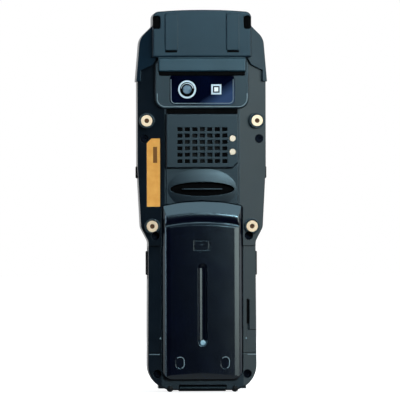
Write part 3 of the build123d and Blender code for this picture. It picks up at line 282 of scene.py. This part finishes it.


# the camera glass turns bluer towards its lower right corner: a painted reflection
finishes["camera_glass"] = glassy("cameraGlass", {
    "dark": (5, 9, 22), "light": (10, 17, 34), "patch": 60.0, "smear": 90.0,
    "rough": (0.04, 0.08), "height": 0.000002, "edge": 0.0003, "shine": 0.15,
    "corner": (48, 62, 90), "cornerWay": (1.0, 0.0, -1.5), "cornerSpan": (-0.2405, -0.2305)})
finishes["lens_glass"] = glassy("lensGlass", {
    "dark": (72, 92, 110), "light": (120, 138, 152), "patch": 420.0, "smear": 200.0,
    "rough": (0.08, 0.14), "height": 0.000002, "shine": 0.5})
finishes["scan_glass"] = glassy("scanGlass", {
    "dark": (40, 6, 8), "light": (62, 12, 14), "patch": 50.0, "smear": 90.0,
    "rough": (0.04, 0.09), "height": 0.000002, "edge": 0.0003, "shine": 0.5})
finishes["display_glass"] = glassy("displayGlass", {
    "dark": (10, 12, 15), "light": (15, 18, 22), "patch": 25.0, "smear": 60.0,
    "rough": (0.05, 0.1), "height": 0.000002, "edge": 0.0004, "shine": 0.5})
finishes["flash_lamp"] = glassy("flashLamp", {
    "dark": (214, 216, 220), "light": (240, 241, 243), "patch": 900.0, "smear": 600.0,
    "rough": (0.2, 0.32), "height": 0.00001, "edge": 0.0002, "shine": 0.5})
finishes["board_laminate"] = boardLaminate("boardLaminate", {
    "dark": (18, 74, 52), "light": (24, 88, 62), "copper": (46, 112, 78), "copperWidth": 0.03,
    "tracks": 160.0, "smear": 300.0, "rough": (0.3, 0.42), "height": 0.00001, "shine": 0.5})


def labelFilm(name, values):
    # printed film with a faint paper tooth and one blank field of a darker ink
    toothDetail = 4.0
    finish, tree, shader = startFinish(name, values)
    ink = tint(tree, noise(tree, values["patch"], toothDetail), values)
    place = addNode(tree, "ShaderNodeTexCoord")
    parts = addNode(tree, "ShaderNodeSeparateXYZ")
    tree.links.new(place.outputs["Object"], parts.inputs["Vector"])
    within = []
    for axis, (low, high) in (("X", values["fieldX"]), ("Z", values["fieldZ"])):
        near = addNode(tree, "ShaderNodeMath", operation="COMPARE")
        near.inputs[1].default_value = (low + high) / 2
        near.inputs[2].default_value = (high - low) / 2
        tree.links.new(parts.outputs[axis], near.inputs[0])
        within.append(near.outputs[0])
    inField = maths(tree, "MULTIPLY", *within)
    colour = mixColour(tree, inField, ink, values["field"])
    tree.links.new(colour, shader.inputs["Base Color"])
    roughen(tree, shader, noise(tree, values["smear"]), values)
    relief(tree, shader, noise(tree, values["grain"]), values)
    return finish


finishes["label_film"] = labelFilm("labelFilm", {
    "dark": (226, 150, 72), "light": (236, 164, 84), "field": (120, 76, 40), "patch": 260.0,
    "fieldX": (-0.0268, -0.0246), "fieldZ": (0.1257, 0.1345), "smear": 500.0,
    "rough": (0.4, 0.55), "grain": 3200.0, "height": 0.00001, "shine": 0.3})

# finishes that only a few nodes or small pieces have
keyPrint = moulded("keyPrint", {
    "dark": (206, 208, 210), "light": (232, 233, 234), "patch": 400.0, "rough": (0.45, 0.6),
    "grain": 3000.0, "height": 0.000004, "shine": 0.3})
# near-black matt: painted shade for the sheets laid in recesses and under steps, and also the
# plain black of the lens well and the flash's mask
blackAndPaintedShade = moulded("blackAndPaintedShade", {
    "dark": (2, 3, 6), "light": (5, 6, 10), "patch": 200.0, "rough": (0.7, 0.85),
    "grain": 1800.0, "height": 0.00003, "shine": 0.06})
# light grey-blue: painted highlight for the bands and dots laid where edges and bumps catch the
# light
highlightPlastic = moulded("highlightPlastic", {
    "dark": (84, 98, 106), "light": (108, 122, 130), "patch": 200.0, "rough": (0.35, 0.45),
    "grain": 2600.0, "height": 0.000006, "shine": 0.5})
# pale blue: painted highlight for the glint in the round lower end of the pack's groove
grooveGlintBlue = moulded("grooveGlintBlue", {
    "dark": (122, 152, 168), "light": (142, 172, 186), "patch": 400.0, "rough": (0.3, 0.4),
    "grain": 2600.0, "height": 0.000004, "shine": 0.5})
# dark brown: painted shade for the depth of the inserts' bores
boreShadeBrown = moulded("boreShadeBrown", {
    "dark": (58, 34, 20), "light": (96, 62, 38), "patch": 900.0, "rough": (0.6, 0.8),
    "grain": 2600.0, "height": 0.000006, "shine": 0.2})
# the scan head's cover: a lighter copy of the case plastic, painting the light on the bar's face
scanCoverLit = moulded("scanCoverLit", {**casePlastic, "dark": (22, 42, 52), "light": (29, 50, 61)})
lidRubber = moulded("lidRubber", {
    **bootRubber, "dark": (2, 4, 8), "light": (5, 8, 13), "shine": 0.2})

# nodes whose finish differs from the rest of their slot
ownFinish = {"scan_head_cover": scanCoverLit, "port_lid": lidRubber}
slotOf = {part["node"]: part["material_slot"] for part in frame["record"]["subparts"]}
for name, node in nodes.items():
    node.data.materials.clear()
    node.data.materials.append(ownFinish.get(name, finishes[slotOf[name]]))
print("finishes given to", len(nodes), "nodes")


# from here all sizes and places of pieces are in millimetres
casing = "terminal"
pack = "battery_pack"
# y of the faces that small pieces lie on
faces = {
    "deck": -15.2, "window": -15.1, "notchFloor": -15.3, "grooveFloor": -11.2, "grip": -11.0,
    "keyTop": 16.6,
}
# steps and profile of rounded edges, what counts as the upper rim, and degrees of a sharp edge
shaping = {
    "cornerSteps": 8, "rimSteps": 2, "profile": 0.5, "rimShare": 0.9, "rimAngle": 1.0,
    "sharp": 35,
}


def sheet(width, height, corner):
    # flat sheet with rounded corners, lying face up round the origin
    mesh = bmesh.new()
    bmesh.ops.create_grid(mesh, x_segments=1, y_segments=1, size=0.5)
    bmesh.ops.scale(mesh, vec=(width, height, 1.0), verts=mesh.verts)
    bmesh.ops.bevel(mesh, geom=mesh.verts[:], offset=corner, offset_type="OFFSET",
                    segments=shaping["cornerSteps"], profile=shaping["profile"],
                    affect="VERTICES", material=-1)
    return mesh


def disc(radius, segments):
    # flat round sheet, lying face up round the origin
    mesh = bmesh.new()
    bmesh.ops.create_circle(mesh, segments=segments, radius=radius, cap_ends=True)
    return mesh


def openMiddle(mesh, band):
    # leaves a band of the sheet along its outline
    middle = mesh.faces[:]
    bmesh.ops.inset_region(mesh, faces=middle, thickness=band, use_even_offset=True,
                           use_boundary=True)
    bmesh.ops.delete(mesh, geom=middle, context="FACES")


def cutAway(mesh, spot, way):
    # takes off what lies past the spot in the direction given
    bmesh.ops.bisect_plane(mesh, geom=mesh.verts[:] + mesh.edges[:] + mesh.faces[:],
                           clear_outer=True, plane_co=spot, plane_no=way)


def thicken(mesh, values):
    # closed slab on the sheet, its upper rim rounded where the values say so
    thickness = values["thickness"]
    kept = bmesh.ops.extrude_face_region(mesh, geom=mesh.faces[:], use_keep_orig=True)["geom"]
    raised = [part for part in kept if isinstance(part, bmesh.types.BMVert)]
    bmesh.ops.translate(mesh, vec=(0.0, 0.0, thickness), verts=raised)
    bmesh.ops.recalc_face_normals(mesh, faces=mesh.faces[:])
    if "soft" in values:
        rim = [edge for edge in mesh.edges
               if min(v.co.z for v in edge.verts) > thickness * shaping["rimShare"]
               and edge.calc_face_angle(0.0) > shaping["rimAngle"]]
        bmesh.ops.bevel(mesh, geom=rim, offset=values["soft"], offset_type="OFFSET",
                        segments=shaping["rimSteps"], profile=shaping["profile"],
                        affect="EDGES", material=-1)


def slab(values):
    mesh = sheet(values["width"], values["height"], values["corner"])
    thicken(mesh, values)
    return mesh


def roundSlab(values):
    mesh = disc(values["radius"], values["segments"])
    thicken(mesh, values)
    return mesh


def finishPiece(mesh, name, body, slotName, centre, finish=None, front=False):
    # scaled to metres, and turned to face out of the terminal's back or front
    side = -1.0 if front else 1.0
    turned = Matrix(((side, 0.0, 0.0), (0.0, 0.0, -side), (0.0, 1.0, 0.0))).to_4x4()
    place = Matrix.Scale(millimetre, 4) @ Matrix.Translation(centre) @ turned
    bmesh.ops.transform(mesh, matrix=place, verts=mesh.verts[:])
    bmesh.ops.recalc_face_normals(mesh, faces=mesh.faces[:])
    data = bpy.data.meshes.new(name)
    mesh.to_mesh(data)
    mesh.free()
    data.materials.append(finish or finishes[slotName])
    data.shade_smooth()
    data.set_sharp_from_angle(angle=math.radians(shaping["sharp"]))
    piece = bpy.data.objects.new(name, data)
    bpy.context.scene.collection.objects.link(piece)
    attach(piece, body)


# painted highlight: a light band round the lower part of the camera window, where its edge
# catches the light; its top is cut off, lying in the bar's shadow
windowHighlight = {
    "width": 34.5, "height": 15.7, "corner": 2.5, "band": 0.4, "cut": 5.6, "thickness": 0.2,
    "soft": 0.08, "sunk": 0.03, "z": 165.9,
}
rim = sheet(windowHighlight["width"], windowHighlight["height"], windowHighlight["corner"])
openMiddle(rim, windowHighlight["band"])
cutAway(rim, (0.0, windowHighlight["cut"], 0.0), (0.0, 1.0, 0.0))
thicken(rim, windowHighlight)
spot = (0.0, faces["window"] + windowHighlight["sunk"], windowHighlight["z"])
finishPiece(rim, "windowHighlight", casing, "case_plastic", spot, highlightPlastic)

# painted highlight: a light band along the lower rim of the deck, where its edge catches the
# light
deckHighlight = {
    "width": 49.8, "height": 40.0, "corner": 4.8, "band": 0.45, "cut": 7.5, "thickness": 0.16,
    "soft": 0.06, "sunk": 0.04, "low": 156.2,
}
rim = sheet(deckHighlight["width"], deckHighlight["height"], deckHighlight["corner"])
openMiddle(rim, deckHighlight["band"])
cutAway(rim, (0.0, deckHighlight["cut"] - deckHighlight["height"] / 2, 0.0), (0.0, 1.0, 0.0))
thicken(rim, deckHighlight)
spot = (0.0, faces["deck"] + deckHighlight["sunk"], deckHighlight["low"] + deckHighlight["height"] / 2)
finishPiece(rim, "deckHighlight", casing, "case_plastic", spot, highlightPlastic)

# black well round the lens
lensWell = {
    "outer": 3.9, "inner": 2.45, "segments": 64, "thickness": 0.23, "x": -8.2, "floor": -14.81,
    "z": 165.9,
}
well = disc(lensWell["outer"], lensWell["segments"])
openMiddle(well, lensWell["outer"] - lensWell["inner"])
thicken(well, lensWell)
spot = (lensWell["x"], lensWell["floor"], lensWell["z"])
finishPiece(well, "lensWell", casing, "module_plastic", spot, blackAndPaintedShade)

# arc of bright metal on the upper half of the well
lensArc = {
    "outer": 3.5, "inner": 3.1, "segments": 64, "cut": 0.6, "thickness": 0.2, "soft": 0.06,
    "overWell": 0.19,
}
arc = disc(lensArc["outer"], lensArc["segments"])
openMiddle(arc, lensArc["outer"] - lensArc["inner"])
cutAway(arc, (0.0, lensArc["cut"], 0.0), (0.0, -1.0, 0.0))
thicken(arc, lensArc)
spot = (lensWell["x"], lensWell["floor"] - lensArc["overWell"], lensWell["z"])
finishPiece(arc, "lensArc", casing, "ring_metal", spot)

# black mask round the flash's lamp
flashMask = {
    "outer": 3.66, "inner": 2.24, "corner": 0.15, "thickness": 0.2, "x": 7.8, "floor": -14.12,
    "z": 165.9,
}
mask = sheet(flashMask["outer"], flashMask["outer"], flashMask["corner"])
openMiddle(mask, (flashMask["outer"] - flashMask["inner"]) / 2)
thicken(mask, flashMask)
spot = (flashMask["x"], flashMask["floor"], flashMask["z"])
finishPiece(mask, "flashMask", casing, "module_plastic", spot, blackAndPaintedShade)

# painted shade: dark brown discs inside the bores of the four inserts, standing in for the depth
# of the holes
bore = {
    "radius": 1.31, "segments": 32, "thickness": 0.1, "floor": -12.75,
    "places": ((30.3, 148.8), (-30.3, 148.8), (27.4, 90.9), (-27.4, 90.9)),
}
for count, (x, z) in enumerate(bore["places"]):
    spot = (x, bore["floor"], z)
    finishPiece(roundSlab(bore), f"boreShade{count}", casing, "insert_brass", spot, boreShadeBrown)

# painted shadow: a dark strip under the bar of the scan head's cover, where the bar casts its
# shadow
barShadow = {
    "width": 47.0, "height": 2.3, "corner": 0.5, "thickness": 0.6, "soft": 0.2, "sunk": 0.05,
    "z": 174.6,
}
spot = (0.0, faces["deck"] + barShadow["sunk"], barShadow["z"])
finishPiece(slab(barShadow), "barShadow", casing, "seal_rubber", spot, blackAndPaintedShade)

# painted shadow: a dark strip under the deck's lower rim, where the deck casts its shadow
deckShadow = {
    "width": 39.0, "height": 2.8, "corner": 0.4, "thickness": 0.08, "floor": -13.6,
    "sunk": 0.02, "z": 153.9,
}
spot = (0.0, deckShadow["floor"] + deckShadow["sunk"], deckShadow["z"])
finishPiece(slab(deckShadow), "deckShadow", casing, "seal_rubber", spot, blackAndPaintedShade)

# painted shade: black sheets in the boot's two corner pockets, where the pockets lie in shade
cornerShade = {
    "width": 4.1, "height": 7.1, "corner": 1.35, "thickness": 0.2, "soft": 0.08, "x": 24.9,
    "sunk": 0.02, "z": 202.6,
}
for name, side in (("cornerPadLeft", -1), ("cornerPadRight", 1)):
    spot = (side * cornerShade["x"], faces["notchFloor"] + cornerShade["sunk"], cornerShade["z"])
    finishPiece(slab(cornerShade), name, casing, "seal_rubber", spot, blackAndPaintedShade)

# painted shade: a matt black sheet on the floor of the finger groove, where the groove lies in
# shade
grooveShade = {
    "halfWidth": 17.45, "halfHeight": 3.75, "segments": 96, "thickness": 0.2, "soft": 0.06,
    "sunk": 0.02, "z": 111.3,
}
grooveShadeSheet = disc(1.0, grooveShade["segments"])
bmesh.ops.scale(grooveShadeSheet, vec=(grooveShade["halfWidth"], grooveShade["halfHeight"], 1.0),
                verts=grooveShadeSheet.verts)
thicken(grooveShadeSheet, grooveShade)
spot = (0.0, faces["grooveFloor"] + grooveShade["sunk"], grooveShade["z"])
finishPiece(grooveShadeSheet, "grooveShade", casing, "seal_rubber", spot, blackAndPaintedShade)

# painted shade: dark sheets on the floors of the grille's blind pockets, which lie beside the
# open ones in each row
pocket = {
    "width": 2.75, "height": 2.05, "thickness": 0.12, "pitchX": 4.1, "pitchZ": 3.5,
    "eachSide": 3, "openInRow": (1, 3, 5, 5, 3, 1), "floor": -15.3, "sunk": 0.02, "z": 135.3,
}
middleRow = (len(pocket["openInRow"]) - 1) / 2
pocketShades = bmesh.new()
for row, openCount in enumerate(pocket["openInRow"]):
    for column in range(-pocket["eachSide"], pocket["eachSide"] + 1):
        if abs(column) > openCount // 2:
            made = bmesh.ops.create_grid(pocketShades, x_segments=1, y_segments=1, size=0.5)["verts"]
            bmesh.ops.scale(pocketShades, vec=(pocket["width"], pocket["height"], 1.0), verts=made)
            bmesh.ops.translate(pocketShades, verts=made, vec=(
                column * pocket["pitchX"], (middleRow - row) * pocket["pitchZ"], 0.0))
thicken(pocketShades, pocket)
spot = (0.0, pocket["floor"] + pocket["sunk"], pocket["z"])
finishPiece(pocketShades, "grilleShade", casing, "seal_rubber", spot, blackAndPaintedShade)

# painted shadow: black strips under the lower ends of the boot's two ribs, where the ribs cast
# their shadow
ribShadow = {
    "width": 6.6, "height": 1.2, "corner": 0.3, "thickness": 0.08, "x": 17.0, "floor": -16.3,
    "sunk": 0.03, "z": 186.7,
}
for name, side in (("ribGapLeft", -1), ("ribGapRight", 1)):
    spot = (side * ribShadow["x"], ribShadow["floor"] + ribShadow["sunk"], ribShadow["z"])
    finishPiece(slab(ribShadow), name, casing, "boot_rubber", spot, blackAndPaintedShade)

# painted highlights over the seams of the lower end, where their edges catch the light, and
# painted shade in the slot beside the pack;
# they lean with the grip's back, which falls off towards the sides
gripStrip = {
    "corner": 0.15, "thickness": 0.12, "soft": 0.03, "sunk": 0.04, "slopeFrom": 22.6,
    "slope": 0.3014,
}
gripTrims = {
    "seamBeadLeft": {"width": 6.0, "height": 0.45, "x": -26.2, "z": 20.6, "finish": highlightPlastic},
    "seamBeadRight": {"width": 5.2, "height": 0.45, "x": 27.3, "z": 20.6, "finish": highlightPlastic},
    "slotLining": {"width": 1.2, "height": 13.5, "x": 24.9, "z": 44.3, "finish": blackAndPaintedShade},
}
for name, trim in gripTrims.items():
    strip = slab({**gripStrip, **trim})
    lean = math.copysign(math.atan(gripStrip["slope"]), trim["x"])
    bmesh.ops.rotate(strip, cent=(0.0, 0.0, 0.0), matrix=Matrix.Rotation(lean, 3, "Y"),
                     verts=strip.verts[:])
    fallen = gripStrip["slope"] * (abs(trim["x"]) - gripStrip["slopeFrom"])
    spot = (trim["x"], faces["grip"] + fallen + gripStrip["sunk"], trim["z"])
    finishPiece(strip, name, casing, "case_plastic", spot, trim["finish"])

# painted highlights on the upper right of the finger holds, where their rounded edges catch the
# light
hold = {
    "width": 4.8, "height": 6.6, "corner": 2.2, "band": 0.5, "cut": -0.6,
    "cutWay": (-1.0, -0.45, 0.0), "thickness": 0.55, "soft": 0.08, "x": 12.4, "floor": -16.05,
    "z": 16.2,
}
for name, side in (("holdBeadLeft", -1), ("holdBeadRight", 1)):
    bead = sheet(hold["width"], hold["height"], hold["corner"])
    openMiddle(bead, hold["band"])
    cutAway(bead, (hold["cut"], 0.0, 0.0), hold["cutWay"])
    thicken(bead, hold)
    spot = (side * hold["x"], hold["floor"], hold["z"])
    finishPiece(bead, name, pack, "pack_plastic", spot, highlightPlastic)

# painted highlight: a light disc in the groove's lower end, standing in for the glint of its
# round end
grooveEndGlint = {
    "radius": 1.45, "segments": 40, "thickness": 0.8, "soft": 0.05, "x": 0.1, "floor": -15.0,
    "z": 27.1,
}
spot = (grooveEndGlint["x"], grooveEndGlint["floor"], grooveEndGlint["z"])
finishPiece(roundSlab(grooveEndGlint), "grooveEndGlint", pack, "pack_plastic", spot, grooveGlintBlue)

# small pips beside the lower end of the pack, in the light trim colour: a painted highlight on
# the lit bumps
pip = {
    "radius": 0.55, "segments": 20, "thickness": 0.35, "soft": 0.2, "sunk": 0.05, "z": 29.4,
    "places": {"pipLeft": (-23.0, -10.95), "pipRight": (24.1, -10.6)},
}
for name, (x, y) in pip["places"].items():
    spot = (x, y + pip["sunk"], pip["z"])
    finishPiece(roundSlab(pip), name, casing, "ring_metal", spot, highlightPlastic)

# dark caps on the ends of the lid's hinge
hingeCap = {
    "radius": 2.04, "segments": 28, "rings": 16, "cut": -0.3, "x": 17.8, "y": -9.6, "z": 2.06,
}
for name, side in (("hingeCapLeft", -1), ("hingeCapRight", 1)):
    cap = bmesh.new()
    bmesh.ops.create_uvsphere(cap, u_segments=hingeCap["segments"],
                              v_segments=hingeCap["rings"], radius=hingeCap["radius"])
    cutAway(cap, (0.0, 0.0, hingeCap["cut"]), (0.0, 0.0, -1.0))
    bmesh.ops.holes_fill(cap, edges=[edge for edge in cap.edges if edge.is_boundary])
    spot = (side * hingeCap["x"], hingeCap["y"], hingeCap["z"])
    finishPiece(cap, name, casing, "seal_rubber", spot)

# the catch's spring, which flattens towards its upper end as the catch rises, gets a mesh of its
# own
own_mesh(nodes["catch_spring"])
print("small pieces of the back made")

# printed marks on the front keys: digits, letters for clear and OK, arrows and bars
legend = {
    "size": 5.2, "okShare": 0.8, "weld": 0.001, "curveSteps": 4, "thickness": 0.14,
    "sunk": 0.03, "arrowCorners": 3, "arrowRadius": 1.3, "arrowReach": 5.4, "barHeight": 4.4,
    "barCorner": 0.1, "barPitch": 1.4, "barWidths": (0.9, 0.4, 0.6, 0.4, 0.9, 0.4),
}


def keyMark(key, name, mesh, across=0.0):
    low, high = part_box(key)
    middle = (Vector(low) + Vector(high)) * (0.5 / millimetre)
    spot = (middle.x + across, faces["keyTop"] - legend["sunk"], middle.z)
    finishPiece(mesh, name, key, slotOf[key], spot, keyPrint, front=True)


def lettering(words, size):
    curve = bpy.data.curves.new("draft", "FONT")
    curve.body = words
    curve.size = size
    curve.align_x = "CENTER"
    curve.align_y = "CENTER"
    curve.resolution_u = legend["curveSteps"]
    draft = bpy.data.objects.new("draft", curve)
    flat = bpy.data.meshes.new_from_object(draft)
    mesh = bmesh.new()
    mesh.from_mesh(flat)
    bmesh.ops.remove_doubles(mesh, verts=mesh.verts[:], dist=legend["weld"])
    thicken(mesh, legend)
    bpy.data.objects.remove(draft)
    bpy.data.curves.remove(curve)
    bpy.data.meshes.remove(flat)
    return mesh


for digit in range(10):
    keyMark(f"key_{digit}", f"digit{digit}", lettering(str(digit), legend["size"]))
keyMark("key_clear", "letterC", lettering("C", legend["size"]))
keyMark("key_enter", "lettersOk", lettering("OK", legend["size"] * legend["okShare"]))
for count in range(4):
    arrow = disc(legend["arrowRadius"], legend["arrowCorners"])
    bmesh.ops.translate(arrow, vec=(0.0, legend["arrowReach"], 0.0), verts=arrow.verts[:])
    bmesh.ops.rotate(arrow, cent=(0.0, 0.0, 0.0), verts=arrow.verts[:],
                     matrix=Matrix.Rotation(count * math.pi / 2, 3, "Z"))
    thicken(arrow, legend)
    keyMark("key_nav", f"arrow{count}", arrow)
middleBar = (len(legend["barWidths"]) - 1) / 2
for count, width in enumerate(legend["barWidths"]):
    bar = sheet(width, legend["barHeight"], legend["barCorner"])
    thicken(bar, legend)
    keyMark("key_scan", f"bar{count}", bar, (count - middleBar) * legend["barPitch"])
print("key marks made")

# turn and roll in degrees, distance in metres, the rest in millimetres
cameraSetup = {
    "turn": -2.5, "roll": -0.15, "distance": 4.0, "target": (-0.64, 0.0, 105.3),
    "frameWidth": 220.0, "sensor": 36.0,
}
turn = math.radians(cameraSetup["turn"])
roll = Matrix.Rotation(math.radians(cameraSetup["roll"]), 3, "Z")
target = Vector(cameraSetup["target"]) * millimetre
back = Vector((math.sin(turn), -math.cos(turn), 0.0))
camera = bpy.data.objects.new("camera", bpy.data.cameras.new("camera"))
bpy.context.scene.collection.objects.link(camera)
camera.location = target + back * cameraSetup["distance"]
camera.rotation_euler = ((-back).to_track_quat("-Z", "Y").to_matrix() @ roll).to_euler()
camera.data.sensor_width = cameraSetup["sensor"]
frameMetres = cameraSetup["frameWidth"] * millimetre
camera.data.lens = cameraSetup["sensor"] * cameraSetup["distance"] / frameMetres
bpy.context.scene.camera = camera


def addLamp(name, values):
    # side: degrees to the right of the back's own axis; height: degrees above the level
    side, height = math.radians(values["side"]), math.radians(values["height"])
    aimed = Vector((math.sin(side) * math.cos(height), -math.cos(side) * math.cos(height),
                    math.sin(height)))
    lamp = bpy.data.objects.new(name, bpy.data.lights.new(name, "AREA"))
    bpy.context.scene.collection.objects.link(lamp)
    lamp.data.shape = "RECTANGLE"
    lamp.data.size, lamp.data.size_y = values["size"]
    lamp.data.energy = values["power"]
    lamp.data.color = values["colour"]
    lamp.location = target + aimed * values["distance"]
    lamp.rotation_euler = (-aimed).to_track_quat("-Z", "Y").to_euler()


lamps = {
    "keyLamp": {"side": 49, "height": 8, "distance": 1.5, "size": (1.7, 0.8), "power": 14.0,
                "colour": (1.0, 0.98, 0.88)},
    "frontLamp": {"side": 15, "height": 17, "distance": 0.95, "size": (0.2, 0.15), "power": 5.0,
                  "colour": (0.7, 0.93, 1.0)},
    "rimLamp": {"side": -76, "height": 6, "distance": 1.3, "size": (0.14, 0.8), "power": 2.2,
                "colour": (0.7, 0.85, 1.0)},
    "faceLamp": {"side": 152, "height": 26, "distance": 1.5, "size": (0.9, 0.9), "power": 11.0,
                 "colour": (1.0, 1.0, 1.0)},
    "sideLamp": {"side": -128, "height": 22, "distance": 1.5, "size": (0.6, 0.8), "power": 4.0,
                 "colour": (0.9, 0.96, 1.0)},
    "topLamp": {"side": 10, "height": 44, "distance": 1.5, "size": (1.6, 0.9), "power": 9.0,
                "colour": (0.72, 0.92, 1.0)},
}
for name, values in lamps.items():
    addLamp(name, values)


def anyRay(tree, *kinds):
    # 1 for a ray of any of the kinds named, 0 for the rest
    rays = addNode(tree, "ShaderNodeLightPath")
    out = rays.outputs[kinds[0]]
    for kind in kinds[1:]:
        out = maths(tree, "ADD", out, rays.outputs[kind])
    return out


def fadeAlongY(tree, source, reach, least):
    # strength that falls to the least value towards the camera's side of the room
    parts = addNode(tree, "ShaderNodeSeparateXYZ")
    tree.links.new(source, parts.inputs["Vector"])
    return mapRange(tree, parts.outputs["Y"], reach, (least, 1.0))


# white behind the object; in reflections it fades towards the dark end of the room, behind the
# camera; on matt surfaces the room gives only a faint light
roomSetup = {
    "colour": (0.72, 0.86, 1.0, 1.0), "strength": 0.04, "white": (1.0, 1.0, 1.0, 1.0),
    "fade": (-0.3, 0.5), "least": 0.01,
}
world = bpy.data.worlds.new("studio")
bpy.context.scene.world = world
world.use_nodes = True
sky = world.node_tree
room = sky.nodes["Background"]
room.inputs["Color"].default_value = roomSetup["colour"]
room.inputs["Strength"].default_value = roomSetup["strength"]
white = addNode(sky, "ShaderNodeBackground", Color=roomSetup["white"])
way = addNode(sky, "ShaderNodeTexCoord").outputs["Generated"]
wayFade = fadeAlongY(sky, way, roomSetup["fade"], roomSetup["least"])
wayLit = maths(sky, "MAXIMUM", wayFade, anyRay(sky, "Is Camera Ray"))
seen = anyRay(sky, "Is Camera Ray", "Is Glossy Ray", "Is Transmission Ray")
choose = addNode(sky, "ShaderNodeMixShader")
sky.links.new(wayLit, white.inputs["Strength"])
sky.links.new(seen, choose.inputs["Fac"])
sky.links.new(room.outputs[0], choose.inputs[1])
sky.links.new(white.outputs[0], choose.inputs[2])
sky.links.new(choose.outputs[0], sky.nodes["World Output"].inputs["Surface"])

# size, depth and reaches in metres
floorSetup = {
    "size": 6.0, "below": 0.0002, "base": (0.5, 0.5, 0.5, 1.0), "rough": 0.9,
    "glowFrom": (0.09, 0.34), "nearGlow": 0.8, "fade": (-0.12, 0.35), "least": 0.01,
}
floorMesh = bmesh.new()
bmesh.ops.create_grid(floorMesh, x_segments=1, y_segments=1, size=floorSetup["size"])
floorData = bpy.data.meshes.new("floor")
floorMesh.to_mesh(floorData)
floorMesh.free()
floor = bpy.data.objects.new("floor", floorData)
floor.location.z = -floorSetup["below"]
bpy.context.scene.collection.objects.link(floor)
floorFinish = bpy.data.materials.new("floorWhite")
floorFinish.use_nodes = True
floorTree = floorFinish.node_tree
floorShader = floorTree.nodes["Principled BSDF"]
floorShader.inputs["Base Color"].default_value = floorSetup["base"]
floorShader.inputs["Specular IOR Level"].default_value = 0.0
floorShader.inputs["Roughness"].default_value = floorSetup["rough"]
# the floor glows white further out, and only close to the object keeps room for its shadow
place = addNode(floorTree, "ShaderNodeTexCoord").outputs["Object"]
outwards = addNode(floorTree, "ShaderNodeVectorMath", operation="LENGTH")
floorTree.links.new(place, outwards.inputs[0])
glowing = mapRange(floorTree, outwards.outputs["Value"], floorSetup["glowFrom"],
                   (floorSetup["nearGlow"], 1.0))
direct = maths(floorTree, "MULTIPLY", glowing, anyRay(floorTree, "Is Camera Ray"))
glow = addNode(floorTree, "ShaderNodeEmission")
floorSum = addNode(floorTree, "ShaderNodeAddShader")
floorTree.links.new(direct, glow.inputs["Strength"])
floorTree.links.new(floorShader.outputs[0], floorSum.inputs[0])
floorTree.links.new(glow.outputs[0], floorSum.inputs[1])
# its reflections fade towards the dark end of the room too
reflected = addNode(floorTree, "ShaderNodeEmission")
floorPick = addNode(floorTree, "ShaderNodeMixShader")
floorFade = fadeAlongY(floorTree, place, floorSetup["fade"], floorSetup["least"])
mirrored = anyRay(floorTree, "Is Glossy Ray", "Is Transmission Ray")
floorTree.links.new(floorFade, reflected.inputs["Strength"])
floorTree.links.new(mirrored, floorPick.inputs["Fac"])
floorTree.links.new(floorSum.outputs[0], floorPick.inputs[1])
floorTree.links.new(reflected.outputs[0], floorPick.inputs[2])
floorTree.links.new(floorPick.outputs[0], floorTree.nodes["Material Output"].inputs["Surface"])
floorData.materials.append(floorFinish)
bpy.context.scene.view_settings.view_transform = "Standard"
print("camera, lamps and floor placed")
